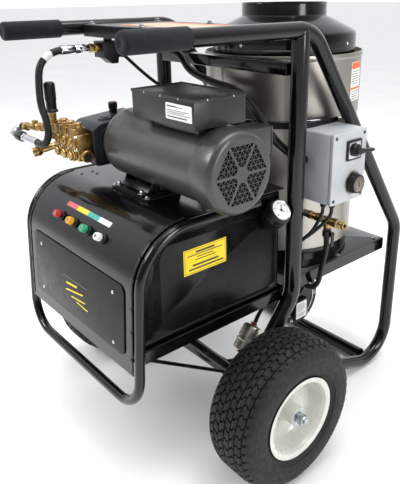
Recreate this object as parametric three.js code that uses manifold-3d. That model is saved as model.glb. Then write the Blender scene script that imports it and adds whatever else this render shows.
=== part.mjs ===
// Portable hot-water pressure washer: a tube cart on two wheels that carries an electric motor,
// a three-plunger pump, a diesel tank and an oil-fired water heater.
// Millimetres. X runs along the axle towards the tank's filler, Y from the handles to the
// heater, Z up. Parts are placed from the axle, and the last line moves the whole cart so that
// the origin is under its middle, on the floor.
import * as THREE from 'three';
import Module from 'manifold-3d';
import { mergeVertices } from 'three/addons/utils/BufferGeometryUtils.js';

const wasm = await Module();
wasm.setup();

// Driving dimensions
const GAP = 0.4; // clearance between touching parts
const TUBE_R = 21; // side tubes
const UPRIGHT_R = 23;
const SIDE_X = 288; // side frames stand this far from the middle
const HANDLE_Z = 1141;
const HANDLE_FRONT_Y = -330;
const GRIP_R = 24;
const GRIP_LENGTH = 163;
const UPRIGHT_Y = 171;
const REAR_Y = 670;
const AXLE_Z = 203;
const AXLE_R = 21;
const TYRE_R = 203;
const TYRE_WIDTH = 160;
const WHEEL_X = 413;
const RIM_R = 114;
const DECK_Z = 740; // top of the tank cover, where the motor stands
const COVER_X = 270.5;
const COVER_T = 2;
const COVER_BEND_R = 150;
const FRONT_TOP_Y = -331; // the front face leans back from FRONT_FOOT_Y to here
const FRONT_FOOT_Y = -354;
const FRONT_FOOT_Z = 388;
const HOOP_R = 13;
const RAIL_TOP_Z = 440;
const MOTOR_Y = -108;
const MOTOR_Z = 854;
const MOTOR_R = 90;
const FAN_COVER_R = 97;
const MOTOR_FAN_END_X = 380;
const HEATER_Y = 417;
const HEATER_R = 237;
const PLATFORM_Z = 449;

const group = new THREE.Group();

const finishes = {
  blackPaint: { color: 0x121315, roughness: 0.22, metalness: 0.0 },
  motorPaint: { color: 0x4a4a48, roughness: 0.38, metalness: 0.2 },
  foam: { color: 0x2a2b2e, roughness: 0.9, metalness: 0.0 },
  blackPlastic: { color: 0x17181a, roughness: 0.5, metalness: 0.0 },
  hose: { color: 0x1d1e20, roughness: 0.6, metalness: 0.0 },
  stainless: { color: 0xa8a39b, roughness: 0.3, metalness: 1.0 },
  greyJacket: { color: 0xb3b0aa, roughness: 0.35, metalness: 0.7 },
  zinc: { color: 0xb9bdc2, roughness: 0.3, metalness: 1.0 },
  brass: { color: 0xb08a4a, roughness: 0.35, metalness: 1.0 },
  boxGrey: { color: 0xc3c6ca, roughness: 0.5, metalness: 0.0 },
  rimPaint: { color: 0xe4e3dc, roughness: 0.35, metalness: 0.0 },
  tyre: { color: 0x26272a, roughness: 0.85, metalness: 0.0 },
  copper: { color: 0x8a5a3c, roughness: 0.4, metalness: 1.0 },
  red: { color: 0xc0201c, roughness: 0.4, metalness: 0.0 },
  yellow: { color: 0xe8ac1c, roughness: 0.4, metalness: 0.0 },
  green: { color: 0x2ea678, roughness: 0.4, metalness: 0.0 },
  white: { color: 0xeeeeee, roughness: 0.4, metalness: 0.0 },
};

function add(name, geometry, finish) {
  const mesh = new THREE.Mesh(geometry, new THREE.MeshStandardMaterial(finishes[finish]));
  mesh.name = name;
  group.add(mesh);
}

// --- Solids and booleans ---

function toSolid(geometry) {
  const bare = geometry.clone();
  bare.deleteAttribute('normal');
  bare.deleteAttribute('uv');
  const merged = mergeVertices(bare, 1e-4);
  const mesh = new wasm.Mesh({
    numProp: 3,
    vertProperties: new Float32Array(merged.attributes.position.array),
    triVerts: new Uint32Array(merged.index.array),
  });
  return new wasm.Manifold(mesh);
}

function toGeometry(solid) {
  const mesh = solid.asOriginal().simplify(0.01).getMesh();
  const geometry = new THREE.BufferGeometry();
  geometry.setAttribute('position', new THREE.BufferAttribute(mesh.vertProperties, 3));
  geometry.setIndex(new THREE.BufferAttribute(mesh.triVerts, 1));
  geometry.computeVertexNormals();
  return geometry;
}

function join(...geometries) {
  return toGeometry(geometries.map(toSolid).reduce((sum, solid) => sum.add(solid)));
}

function cut(geometry, ...tools) {
  return toGeometry(tools.map(toSolid).reduce((rest, tool) => rest.subtract(tool), toSolid(geometry)));
}

// The tightest convex solid round some points.
function hull(points) {
  return toGeometry(wasm.Manifold.hull(points));
}

// --- Basic shapes ---

function box([x0, x1], [y0, y1], [z0, z1]) {
  const geometry = new THREE.BoxGeometry(x1 - x0, y1 - y0, z1 - z0);
  return geometry.translate((x0 + x1) / 2, (y0 + y1) / 2, (z0 + z1) / 2);
}

// A box with its twelve edges and eight corners taken off.
function chamferedBox([x0, x1], [y0, y1], [z0, z1], c) {
  const points = [];
  for (const [x, inX] of [[x0, c], [x1, -c]]) {
    for (const [y, inY] of [[y0, c], [y1, -c]]) {
      for (const [z, inZ] of [[z0, c], [z1, -c]]) {
        points.push([x, y + inY, z + inZ], [x + inX, y, z + inZ], [x + inX, y + inY, z]);
      }
    }
  }
  return hull(points);
}

// A round bar from one point to another; a second radius makes it a cone.
function bar(from, to, radius, sides = 16, endRadius = radius) {
  const start = new THREE.Vector3(...from);
  const along = new THREE.Vector3(...to).sub(start);
  const geometry = new THREE.CylinderGeometry(endRadius, radius, along.length(), sides);
  geometry.translate(0, along.length() / 2, 0);
  const turn = new THREE.Quaternion().setFromUnitVectors(
    new THREE.Vector3(0, 1, 0), along.clone().normalize());
  return geometry.applyQuaternion(turn).translate(...from);
}

// A turned piece: profile pairs are [distance along the axis, radius], closed on themselves
// unless the first and last radius are 0. It starts at origin and runs along direction.
function turned(profile, origin, direction, sides = 32) {
  const ring = profile.map(([along, radius]) => new THREE.Vector2(radius, along));
  if (THREE.ShapeUtils.area(ring) < 0) {
    ring.reverse();
  }
  if (profile[0][1] > 0) {
    ring.push(ring[0].clone());
  }
  const geometry = new THREE.LatheGeometry(ring, sides);
  const turn = new THREE.Quaternion().setFromUnitVectors(
    new THREE.Vector3(0, 1, 0), new THREE.Vector3(...direction).normalize());
  return geometry.applyQuaternion(turn).translate(...origin);
}

function polygon(sides, radius) {
  const points = [];
  for (let i = 0; i < sides; i += 1) {
    const angle = (2 * Math.PI * (i + 0.5)) / sides;
    points.push(new THREE.Vector2(radius * Math.cos(angle), radius * Math.sin(angle)));
  }
  return new THREE.Shape(points);
}

function roundedRectangle([u0, u1], [v0, v1], r) {
  const shape = new THREE.Shape();
  shape.moveTo(u0 + r, v0);
  shape.lineTo(u1 - r, v0);
  shape.absarc(u1 - r, v0 + r, r, -Math.PI / 2, 0);
  shape.lineTo(u1, v1 - r);
  shape.absarc(u1 - r, v1 - r, r, 0, Math.PI / 2);
  shape.lineTo(u0 + r, v1);
  shape.absarc(u0 + r, v1 - r, r, Math.PI / 2, Math.PI);
  shape.lineTo(u0, v0 + r);
  shape.absarc(u0 + r, v0 + r, r, Math.PI, 1.5 * Math.PI);
  return shape;
}

// A shape drawn in (Y, Z) and pulled along X.
function pullX(shape, [x0, x1], curveSegments = 4) {
  const geometry = new THREE.ExtrudeGeometry(shape, { depth: x1 - x0, bevelEnabled: false, curveSegments });
  const basis = new THREE.Matrix4().makeBasis(
    new THREE.Vector3(0, 1, 0), new THREE.Vector3(0, 0, 1), new THREE.Vector3(1, 0, 0));
  return geometry.applyMatrix4(basis).translate(x0, 0, 0);
}

// --- Tubes and hoses ---

// The route passes exactly through its own points, which stand square to the tube there.
class Route extends THREE.Curve {
  constructor(points, tangents) {
    super();
    this.points = points;
    this.tangents = tangents;
  }

  getPointAt(u, target = new THREE.Vector3()) {
    return target.copy(this.points[Math.round(u * (this.points.length - 1))]);
  }

  getTangentAt(u, target = new THREE.Vector3()) {
    return target.copy(this.tangents[Math.round(u * (this.points.length - 1))]);
  }
}

function tubeAlong(route, radius, sides) {
  return new THREE.ExtrudeGeometry(polygon(sides, radius), {
    steps: route.points.length - 1,
    extrudePath: route,
  });
}

// Straight runs between corners, each inner corner bent to its own radius.
function bentTube(corners, bends, radius, { sides = 12, stepsPerBend = 5 } = {}) {
  const nodes = corners.map((corner) => new THREE.Vector3(...corner));
  const points = [nodes[0].clone()];
  const tangents = [nodes[1].clone().sub(nodes[0]).normalize()];
  for (let i = 1; i < nodes.length - 1; i += 1) {
    const before = nodes[i].clone().sub(nodes[i - 1]).normalize();
    const after = nodes[i + 1].clone().sub(nodes[i]).normalize();
    const turn = before.angleTo(after);
    const start = nodes[i].clone().addScaledVector(before, -bends[i - 1] * Math.tan(turn / 2));
    const axis = before.clone().cross(after).normalize();
    const centre = start.clone().addScaledVector(axis.clone().cross(before), bends[i - 1]);
    const arm = start.clone().sub(centre);
    for (let step = 0; step <= stepsPerBend; step += 1) {
      const angle = (turn * step) / stepsPerBend;
      points.push(arm.clone().applyAxisAngle(axis, angle).add(centre));
      tangents.push(before.clone().applyAxisAngle(axis, angle));
    }
  }
  points.push(nodes.at(-1).clone());
  tangents.push(nodes.at(-1).clone().sub(nodes.at(-2)).normalize());
  return tubeAlong(new Route(points, tangents), radius, sides);
}

// A hose on a smooth curve through a few points.
function hose(points, radius, steps, sides = 10) {
  const curve = new THREE.CatmullRomCurve3(points.map((point) => new THREE.Vector3(...point)));
  const route = new Route(curve.getSpacedPoints(steps), []);
  for (let i = 0; i <= steps; i += 1) {
    route.tangents.push(curve.getTangentAt(i / steps));
  }
  return tubeAlong(route, radius, sides);
}

// --- Cart frame ---

function sideTubeShape(side, radius) {
  const x = side * SIDE_X;
  const corners = [
    [x, HANDLE_FRONT_Y, HANDLE_Z],
    [x, 213, HANDLE_Z],
    [x, REAR_Y, 501],
    [x, REAR_Y, -24.6],
    [x, 45, 196.8],
  ];
  return bentTube(corners, [100, 90, 110], radius);
}

function uprightShape(side, radius = UPRIGHT_R) {
  const x = side * SIDE_X;
  const corners = [
    [x, UPRIGHT_Y, HANDLE_Z],
    [x, UPRIGHT_Y, 422],
    [x, 14.5, 222.5],
  ];
  return bentTube(corners, [90], radius);
}

function tankRingShape() {
  const low = RAIL_TOP_Z - 35;
  const outer = [[-COVER_X, COVER_X], [-329, 146]];
  const ring = box(...outer, [low, RAIL_TOP_Z]);
  const middle = box([-241, 241], [-300, 117], [low - 1, RAIL_TOP_Z + 1]);
  const inside = box([4 - COVER_X, COVER_X - 4], [-325, 142], [low - 1, RAIL_TOP_Z - 4]);
  return cut(ring, middle, inside);
}

// The axle with its braces, welded to the ring of angle that the tank stands in.
function lowerFrameShape() {
  const half = [
    [0, 0], [0, AXLE_R], [311, AXLE_R], [311, 12.5], [478, 12.5], [478, 14.5],
    [492, 14.5], [492, 9], [503, 9], [503, 0],
  ];
  const right = turned(half, [0, 0, AXLE_Z], [1, 0, 0], 12);
  const left = turned(half, [0, 0, AXLE_Z], [-1, 0, 0], 12);
  const braces = [-1, 1].flatMap((side) => [
    bar([side * 257, -176, 407], [side * 257, -4, AXLE_Z + 8], 12.5, 12),
    bar([side * 236, -322, 407], [side * 236, -4, AXLE_Z + 5], 5, 8),
  ]);
  const uprights = [1, -1].map((side) => uprightShape(side, UPRIGHT_R + GAP));
  return join(right, left, ...braces, cut(tankRingShape(), ...uprights));
}

function frontHoopShape() {
  const topY = FRONT_TOP_Y + 10;
  const topZ = DECK_Z - 10;
  const lowY = FRONT_FOOT_Y + 3;
  const x = COVER_X + HOOP_R + GAP;
  const corners = [
    [x, 35, topZ], [x, topY, topZ], [x, lowY, 290],
    [-x, lowY, 290], [-x, topY, topZ], [-x, 35, topZ],
  ];
  return bentTube(corners, [140, 90, 90, 140], HOOP_R, { sides: 10, stepsPerBend: 4 });
}

function rearPlatformShape() {
  const skirtZ = PLATFORM_Z - 38;
  const slab = box([-266, 266], [200, 646], [skirtZ, PLATFORM_Z]);
  const under = box([-262, 262], [204, 642], [skirtZ - 1, PLATFORM_Z - 4]);
  const collar = turned(
    [[-2, 216], [39, 216], [39, 226], [-2, 226]], [0, HEATER_Y, PLATFORM_Z], [0, 0, 1], 32);
  const flameHole = bar([0, HEATER_Y, skirtZ - 5], [0, HEATER_Y, PLATFORM_Z + 5], 80, 24);
  return cut(join(cut(slab, under), collar), flameHole);
}

function topTrayShape() {
  const half = SIDE_X - TUBE_R - 1;
  const sheet = box([-half, half], [-115, 140], [1147, 1150]);
  const flangeFront = box([-half, half], [-115, -112], [1118, 1149]);
  const flangeRear = box([-half, half], [137, 140], [1118, 1149]);
  return join(sheet, flangeFront, flangeRear);
}

function gripShape(side) {
  const x = side * SIDE_X;
  const front = HANDLE_FRONT_Y - 9;
  const outline = [
    [0, 0], [0, 18], [1.5, 22], [5, GRIP_R], [GRIP_LENGTH - 1.5, GRIP_R], [GRIP_LENGTH, GRIP_R - 1.5],
    [GRIP_LENGTH, TUBE_R + GAP], [8, TUBE_R + GAP], [8, 0],
  ];
  return turned(outline, [x, front, HANDLE_Z], [0, 1, 0], 20);
}

function addFrame() {
  for (const [side, label] of [[1, 'near'], [-1, 'far']]) {
    add(`side_tube_${label}`, sideTubeShape(side, TUBE_R), 'blackPaint');
    add(`upright_${label}`, cut(uprightShape(side), sideTubeShape(side, TUBE_R + GAP)), 'blackPaint');
    add(`grip_${label}`, gripShape(side), 'foam');
  }
  add('lower_frame', lowerFrameShape(), 'blackPaint');
  add('front_hoop', frontHoopShape(), 'blackPaint');
  add('rear_platform', rearPlatformShape(), 'blackPaint');
  const beam = cut(
    box([-264.5, 264.5], [148, 176], [1031, 1063]),
    box([-265, 265], [151, 173], [1034, 1060]),
  );
  add('upper_cross_beam', beam, 'blackPaint');
  const footTube = bar([1 - SIDE_X, 565, 26], [SIDE_X - 1, 565, 26], TUBE_R, 16);
  const clearances = [sideTubeShape(1, TUBE_R + GAP), sideTubeShape(-1, TUBE_R + GAP)];
  add('rear_foot_tube', cut(footTube, ...clearances), 'blackPaint');
  add('top_tray', topTrayShape(), 'blackPaint');
}

// --- Wheels ---

// The tyre's section, drawn from the outer bead round the tread to the inner bead.
function tyreShape(side) {
  const half = TYRE_WIDTH / 2;
  const profile = [
    [half - 12, RIM_R + 2], [half, 150], [half - 5, 184], [half - 24, 199], [half - 50, TYRE_R],
    [50 - half, TYRE_R], [24 - half, 199], [5 - half, 184], [-half, 150], [12 - half, RIM_R + 2],
    [14 - half, 105], [half - 14, 105],
  ];
  return turned(profile, [side * WHEEL_X, 0, AXLE_Z], [side, 0, 0], 28);
}

// A dished steel rim with its hub tube, turned about the axle.
function rimShape(side) {
  const half = TYRE_WIDTH / 2;
  const profile = [
    [-62, 13.2], [-62, 26], [0, 26], [4, 82], [10 - half, 98], [8 - half, RIM_R], [13.6 - half, 102],
    [half - 13.6, 102], [half - 7, RIM_R], [half - 9, 97], [12, 80], [6, 26], [64, 26], [64, 13.2],
  ];
  return turned(profile, [side * WHEEL_X, 0, AXLE_Z], [side, 0, 0], 24);
}

function addWheels() {
  for (const [side, label] of [[1, 'near'], [-1, 'far']]) {
    add(`tyre_${label}`, tyreShape(side), 'tyre');
    add(`rim_${label}`, rimShape(side), 'rimPaint');
  }
}

// --- Tank, its cover and the nozzle rack ---

// Points along the cover's outline in (Y, Z), pulled in by inset, from the rear top to the foot.
function coverOutline(inset, rearY, footZ, steps = 8) {
  const lean = Math.atan2(FRONT_TOP_Y - FRONT_FOOT_Y, DECK_Z - FRONT_FOOT_Z);
  const turn = Math.PI / 2 - lean;
  const radius = COVER_BEND_R - inset;
  const centreY = FRONT_TOP_Y + COVER_BEND_R * Math.tan(turn / 2);
  const centreZ = DECK_Z - COVER_BEND_R;
  const points = [[rearY, DECK_Z - inset]];
  for (let i = 0; i <= steps; i += 1) {
    const angle = Math.PI / 2 + (turn * i) / steps;
    points.push([centreY + radius * Math.cos(angle), centreZ + radius * Math.sin(angle)]);
  }
  const [lastY, lastZ] = points.at(-1);
  points.push([lastY - (lastZ - footZ) * Math.tan(lean), footZ]);
  return points;
}

function shapeOf(points) {
  return new THREE.Shape(points.map(([u, v]) => new THREE.Vector2(u, v)));
}

const NOZZLE_TILT = THREE.MathUtils.degToRad(35);
const NOZZLE_PITCH = 71;
const nozzleDirection = [0, -Math.cos(NOZZLE_TILT), Math.sin(NOZZLE_TILT)];

// Where a nozzle's centre line crosses the cover's outer face.
function nozzleSeat(index) {
  const lean = Math.atan2(FRONT_TOP_Y - FRONT_FOOT_Y, DECK_Z - FRONT_FOOT_Z);
  const centreY = FRONT_TOP_Y + COVER_BEND_R * Math.tan((Math.PI / 2 - lean) / 2);
  return [
    4 + (index - 1.5) * NOZZLE_PITCH,
    centreY + COVER_BEND_R * nozzleDirection[1],
    DECK_Z - COVER_BEND_R + COVER_BEND_R * nozzleDirection[2],
  ];
}

function beyond([x, y, z], distance, direction = nozzleDirection) {
  return [x + distance * direction[0], y + distance * direction[1], z + distance * direction[2]];
}

function tankCoverShape() {
  const outer = coverOutline(0, 146, FRONT_FOOT_Z);
  const inner = coverOutline(COVER_T, 146, FRONT_FOOT_Z).reverse();
  const sheet = pullX(shapeOf([...outer, ...inner]), [-COVER_X, COVER_X]);
  const holes = [0, 1, 2, 3].map((index) =>
    bar(beyond(nozzleSeat(index), -9), beyond(nozzleSeat(index), 9), 9, 12));
  return cut(sheet, ...holes);
}

function nozzleShape(index) {
  const profile = [
    [-5, 0], [-5, 5.5], [10, 5.5], [10, 9], [13, 10.5], [22, 10.5], [26, 8], [26, 0],
  ];
  return turned(profile, nozzleSeat(index), nozzleDirection, 10);
}

// The filler leans out over the tank's near side.
const FILLER_TILT = THREE.MathUtils.degToRad(39);
const fillerDirection = [Math.cos(FILLER_TILT), 0, Math.sin(FILLER_TILT)];
const fillerTop = [288, 107, 686.5];

function tankShape() {
  const wall = 8;
  const outline = (inset) => shapeOf([
    ...coverOutline(8 + inset, 140 - inset, RAIL_TOP_Z + 0.6 + inset),
    [140 - inset, RAIL_TOP_Z + 0.6 + inset],
  ]);
  const outer = pullX(outline(0), [-262, 262]);
  const inner = pullX(outline(wall), [wall - 262, 262 - wall]);
  const recess = (side) => pullX(roundedRectangle([-258, 128], [456, 684], 40),
    side > 0 ? [258.5, 270] : [-270, -258.5]);
  const pocket = (extra) => bar(beyond(fillerTop, -46 - extra, fillerDirection),
    beyond(fillerTop, 60, fillerDirection), 46 + extra, 20);
  const neck = bar(beyond(fillerTop, -58, fillerDirection), beyond(fillerTop, -3, fillerDirection), 29, 20);
  const bore = bar(beyond(fillerTop, -80, fillerDirection), beyond(fillerTop, 10, fillerDirection), 24, 20);
  const shell = cut(cut(outer, recess(1), recess(-1), pocket(0)), cut(inner, pocket(wall)));
  return cut(join(shell, neck), bore);
}

function fuelCapShape() {
  const profile = [
    [-1, 0], [-1, 30.4], [-33, 30.4], [-33, 38], [-9, 38], [-7, 36.5], [3, 36.5], [11, 34], [16, 28], [16, 0],
  ];
  return turned(profile, fillerTop, fillerDirection, 20);
}

function frontPlateShape() {
  const lean = Math.atan2(FRONT_TOP_Y - FRONT_FOOT_Y, DECK_Z - FRONT_FOOT_Z);
  const length = 182;
  const geometry = new THREE.ExtrudeGeometry(roundedRectangle([-238, 238], [0, length], 20), {
    depth: 3, bevelEnabled: false, curveSegments: 4,
  });
  geometry.rotateX(Math.PI / 2 - lean);
  const lowZ = 425;
  const lowY = FRONT_FOOT_Y + (lowZ - FRONT_FOOT_Z) * Math.tan(lean);
  return geometry.translate(0, lowY - GAP, lowZ);
}

function addTank() {
  add('tank_cover', tankCoverShape(), 'blackPaint');
  add('front_plate', frontPlateShape(), 'blackPlastic');
  add('fuel_tank', tankShape(), 'blackPlastic');
  add('fuel_cap', fuelCapShape(), 'blackPlastic');
  for (const [index, colour] of ['red', 'yellow', 'green', 'white'].entries()) {
    add(`nozzle_${colour}`, nozzleShape(index), colour);
  }
}

// --- Motor ---

function alongMotor(profile, sides = 28) {
  return turned(profile, [0, MOTOR_Y, MOTOR_Z], [1, 0, 0], sides);
}

function motorShellShape() {
  const shell = alongMotor([[-44, 82], [-44, MOTOR_R], [309.5, MOTOR_R], [309.5, 15], [301, 15], [301, 82]]);
  const feet = [MOTOR_Y - 63, MOTOR_Y + 63].flatMap((y) => {
    const inward = y < MOTOR_Y ? [y - 2, y + 34] : [y - 34, y + 2];
    return [
      box([-38, 92], [y - 14, y + 14], [DECK_Z + 6, DECK_Z + 11]),
      box([-30, -24], inward, [DECK_Z + 8, MOTOR_Z - 60]),
      box([74, 80], inward, [DECK_Z + 8, MOTOR_Z - 60]),
    ];
  });
  const cavity = alongMotor([[-60, 0], [-60, 82], [301, 82], [301, 0]]);
  return join(cut(join(...feet), cavity), shell);
}

function motorEndBellShape() {
  return alongMotor([
    [-75, 15], [-75, 74], [-69, 84], [-58, MOTOR_R], [-44.4, MOTOR_R], [-44.4, 84], [-60, 82],
    [-69, 66], [-69, 15],
  ]);
}

function motorBaseShape() {
  const plate = box([-52, 120], [-187, -29], [DECK_Z + GAP, DECK_Z + 5.5]);
  const slot = (y) => box([-20, 70], [y - 5, y + 5], [DECK_Z - 2, DECK_Z + 8]);
  return cut(plate, slot(-130), slot(-86));
}

// Triangular air holes on a triangular grid, in six fields round a plain hexagonal middle.
function fanGrilleHoles() {
  const cell = 36;
  const shrink = 0.8;
  const holes = [];
  const corner = (i, j) => new THREE.Vector2((i + j / 2) * cell, (j * cell * Math.sqrt(3)) / 2);
  for (let i = -3; i <= 3; i += 1) {
    for (let j = -3; j <= 3; j += 1) {
      for (const triangle of [[[0, 0], [1, 0], [0, 1]], [[1, 0], [1, 1], [0, 1]]]) {
        const points = triangle.map(([a, b]) => corner(i + a, j + b));
        const middle = points[0].clone().add(points[1]).add(points[2]).divideScalar(3);
        if (middle.length() < cell || middle.length() > 66) {
          continue;
        }
        const small = points.map((point) => point.sub(middle).multiplyScalar(shrink).add(middle));
        holes.push(new THREE.Shape(small.map((p) => new THREE.Vector2(MOTOR_Y + p.x, MOTOR_Z + p.y))));
      }
    }
  }
  return pullX(holes, [MOTOR_FAN_END_X - 6, MOTOR_FAN_END_X + 2]);
}

function fanCoverShape() {
  const cup = alongMotor([
    [MOTOR_FAN_END_X, 0], [MOTOR_FAN_END_X, 77], [377, 85], [371, 92], [360, FAN_COVER_R],
    [310, FAN_COVER_R], [310, 94], [358, 94], [371, 86], [376, 77], [376, 0],
  ]);
  return cut(cup, fanGrilleHoles());
}

function capacitorBoxShape() {
  const body = box([78, 315], [-187, -38], [952, 1016]);
  const lid = box([76.5, 316.5], [-188.5, -36.5], [1011, 1018.5]);
  const pedestal = box([112, 282], [-150, -66], [925, 953]);
  const motor = alongMotor([[0, 0], [0, MOTOR_R + GAP], [400, MOTOR_R + GAP], [400, 0]]);
  return cut(join(body, lid, pedestal), motor);
}

function conduitBoxShape() {
  const body = chamferedBox([235, 305], [-17, 62], [855, 925], 4);
  const neck = box([248, 292], [-40, -10], [868, 906]);
  return cut(join(body, neck), alongMotor([[0, 0], [0, MOTOR_R + GAP], [309, MOTOR_R + GAP], [309, 0]]));
}

function rotorShaftShape() {
  return alongMotor([
    [-180, 0], [-180, 13], [-76, 14], [20, 14], [20, 48], [230, 48], [230, 14], [320, 14],
    [320, 10], [350, 10], [350, 0],
  ], 16);
}

function coolingFanShape() {
  const hub = alongMotor([[325, 10.4], [325, 24], [345, 24], [345, 10.4]], 14);
  const disc = alongMotor([[325, 20], [325, 72], [328, 72], [328, 20]], 20);
  const blades = [];
  for (let i = 0; i < 6; i += 1) {
    const blade = box([326, 348], [18, 82], [-1.5, 1.5]);
    blade.rotateX((2 * Math.PI * i) / 6);
    blades.push(blade.translate(0, MOTOR_Y, MOTOR_Z));
  }
  return join(hub, disc, ...blades);
}

function addMotor() {
  add('motor_shell', motorShellShape(), 'motorPaint');
  add('motor_end_bell', motorEndBellShape(), 'motorPaint');
  add('motor_base', motorBaseShape(), 'blackPaint');
  add('fan_cover', fanCoverShape(), 'motorPaint');
  add('capacitor_box', capacitorBoxShape(), 'motorPaint');
  add('conduit_box', conduitBoxShape(), 'motorPaint');
  add('motor_stator', alongMotor([[20, 50], [20, 81.2], [230, 81.2], [230, 50]]), 'zinc');
  add('rotor_shaft', rotorShaftShape(), 'zinc');
  add('cooling_fan', coolingFanShape(), 'blackPlastic');
}

// --- Pump, unloader and the high-pressure line ---

const PLUNGER_X = [-190, -152, -114];
const UNLOADER = [-243, -246];
const COUPLING_Y = -290;
const COUPLING_Z = 842;

function crankcaseShape() {
  const side = [
    [-215, 802], [-215, 893], [-192, 907], [-100, 915], [-48, 918], [-26, 905], [-26, 812],
    [-44, 795], [-205, 795],
  ];
  const body = pullX(shapeOf(side), [-200, -75.6]);
  return cut(body, alongMotor([[-190, 0], [-190, 15.5], [-70, 15.5], [-70, 0]], 24));
}

// The brass head: three columns, each with a valve cap on top and one in front, and the water
// inlet's elbow and nut at its far end.
function manifoldShape() {
  const parts = [
    chamferedBox([-211, -92], [-256, -215.6], [812, 888], 5),
    chamferedBox([-204, -99], [-262, -240], [820, 880], 6),
    bar([-94, -238, 829], [-74, -238, 829], 14, 16),
    bar([-76, -238, 829], [-72, -238, 829], 16, 6),
    bar([-258, -238, 829], [-208, -238, 829], 10, 12),
    bar([-250, -230, 831], [-283, -280, 813], 9.5, 12),
    bar([-281, -277, 814], [-288, -297, 809], 14.5, 6),
  ];
  for (const x of PLUNGER_X) {
    parts.push(bar([x, -238, 884], [x, -238, 906], 13, 12));
    parts.push(bar([x, -238, 904], [x, -238, 915], 12, 6));
    parts.push(bar([x, -258, 829], [x, -271, 829], 12, 6));
    parts.push(bar([x, -258, 858], [x, -265, 858], 13, 12));
  }
  return join(...parts);
}

function unloaderShape() {
  const [x, y] = UNLOADER;
  return join(
    turned([
      [0, 0], [0, 9], [8, 9], [8, 13], [40, 13], [40, 15], [52, 15], [52, 11], [72, 11], [72, 0],
    ], [x, y, 850], [0, 0, 1], 16),
    bar([-213, -242, 872], [x, y, 872], 9, 12),
    turned([
      [0, 0], [0, 10], [60, 10], [64, 13], [82, 13], [84, 8.5], [148, 8.5], [150, 12], [168, 12], [170, 8.5],
      [178, 8.5], [178, 0],
    ], [x, y, 882], [-186, -16, -24], 12),
  );
}

function unloaderKnobShape() {
  const [x, y] = UNLOADER;
  return turned([
    [0, 0], [0, 17.5], [6, 17.5], [8, 13], [28, 13.5], [34, 15.5], [76, 15.5], [82, 12], [82, 0],
  ], [x, y, 925.6], [0, 0, 1], 20);
}

function pumpCouplingShape() {
  const y = COUPLING_Y;
  const z = COUPLING_Z;
  return join(
    bar([-431, y + 2, z + 2], [-431, -262, 858], 11.5, 12),
    bar([-448, y, z], [-412, y, z], 12, 12),
    bar([-414, y, z], [-396, y, z], 9.5, 12),
    turned([[0, 0], [0, 13], [4, 15.5], [30, 15.5], [34, 13], [34, 0]], [-392, y, z], [1, 0, 0], 12),
    bar([-398, y, z], [-391, y, z], 12.5, 6),
    bar([-360, y, z], [-340, y, z], 12.5, 6),
    bar([-342, y, z], [-262, y, z], 11, 12),
  );
}

function highPressureHoseShape() {
  const line = hose([
    [-261.5, -290, 842], [-235, -290, 842], [-213, -286, 851], [-205, -281, 874], [-213, -279, 910],
    [-233, -279, 948], [-243, -274, 1005], [-247, -264, 1048], [-249, -240, 1074], [-250, -212, 1084],
    [-250, -198, 1086],
  ], 10, 22, 8);
  return join(
    line,
    bar([-250, -200, 1086], [-250, -140, 1086], 13, 14),
    bar([-250, -142, 1086], [-250, -112, 1086], 9, 12),
    bar([-250, -114, 1086], [-250, -80.6, 1086], 13, 6),
  );
}

function flowSwitchShape() {
  const body = chamferedBox([-278, -222], [-80, -20], [1052, 1103], 5);
  const skirt = hull([
    [-272, -74, 1054], [-228, -74, 1054], [-272, -26, 1054], [-228, -26, 1054],
    [-262, -50, 1040], [-238, -50, 1040], [-262, -30, 1040], [-238, -30, 1040],
  ]);
  return join(body, skirt, bar([-250, -50, 1100], [-250, -50, 1146.5], 12, 12));
}

function addPump() {
  add('pump_crankcase', crankcaseShape(), 'blackPaint');
  add('pump_manifold', manifoldShape(), 'brass');
  add('oil_cap', turned([
    [0, 0], [0, 11], [14, 11], [16, 13], [29, 13], [32, 10], [32, 0],
  ], [-150, MOTOR_Y, 916.4], [0, 0, 1], 12), 'blackPlastic');
  add('unloader_valve', unloaderShape(), 'brass');
  add('unloader_knob', unloaderKnobShape(), 'blackPlastic');
  add('pump_coupling', pumpCouplingShape(), 'zinc');
  add('high_pressure_hose', highPressureHoseShape(), 'hose');
  add('flow_switch', flowSwitchShape(), 'blackPlastic');
}

// --- Heater ---

function upHeater(profile, z, sides = 32) {
  return turned(profile, [0, HEATER_Y, z], [0, 0, 1], sides);
}

const TEE_Y = 285;
const TEE_Z = 621;
const COIL_R = 190;
const COIL_TURNS = 4;

function heaterShellShape() {
  const shell = upHeater([[0, 205], [0, 233], [554, 233], [554, 229], [3, 229], [3, 205]], PLATFORM_Z + 39.4);
  return cut(shell, bar([150, TEE_Y, TEE_Z], [240, TEE_Y, TEE_Z], 15, 16));
}

function heaterWrapShape() {
  return upHeater([
    [0, 233.4], [0, HEATER_R], [161, HEATER_R], [163, 239.5], [177, 239.5], [177, 236],
    [163, 236], [163, 206],
    [159, 206], [159, 233.4],
  ], 887);
}

function flueCowlShape() {
  return upHeater([
    [0, 214.5], [0, 217], [66, 217], [71, 212], [113, 127], [149, 127], [149, 124.5],
    [112, 124.5], [68.5, 210], [65, 214.5],
  ], 1050.4);
}

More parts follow.
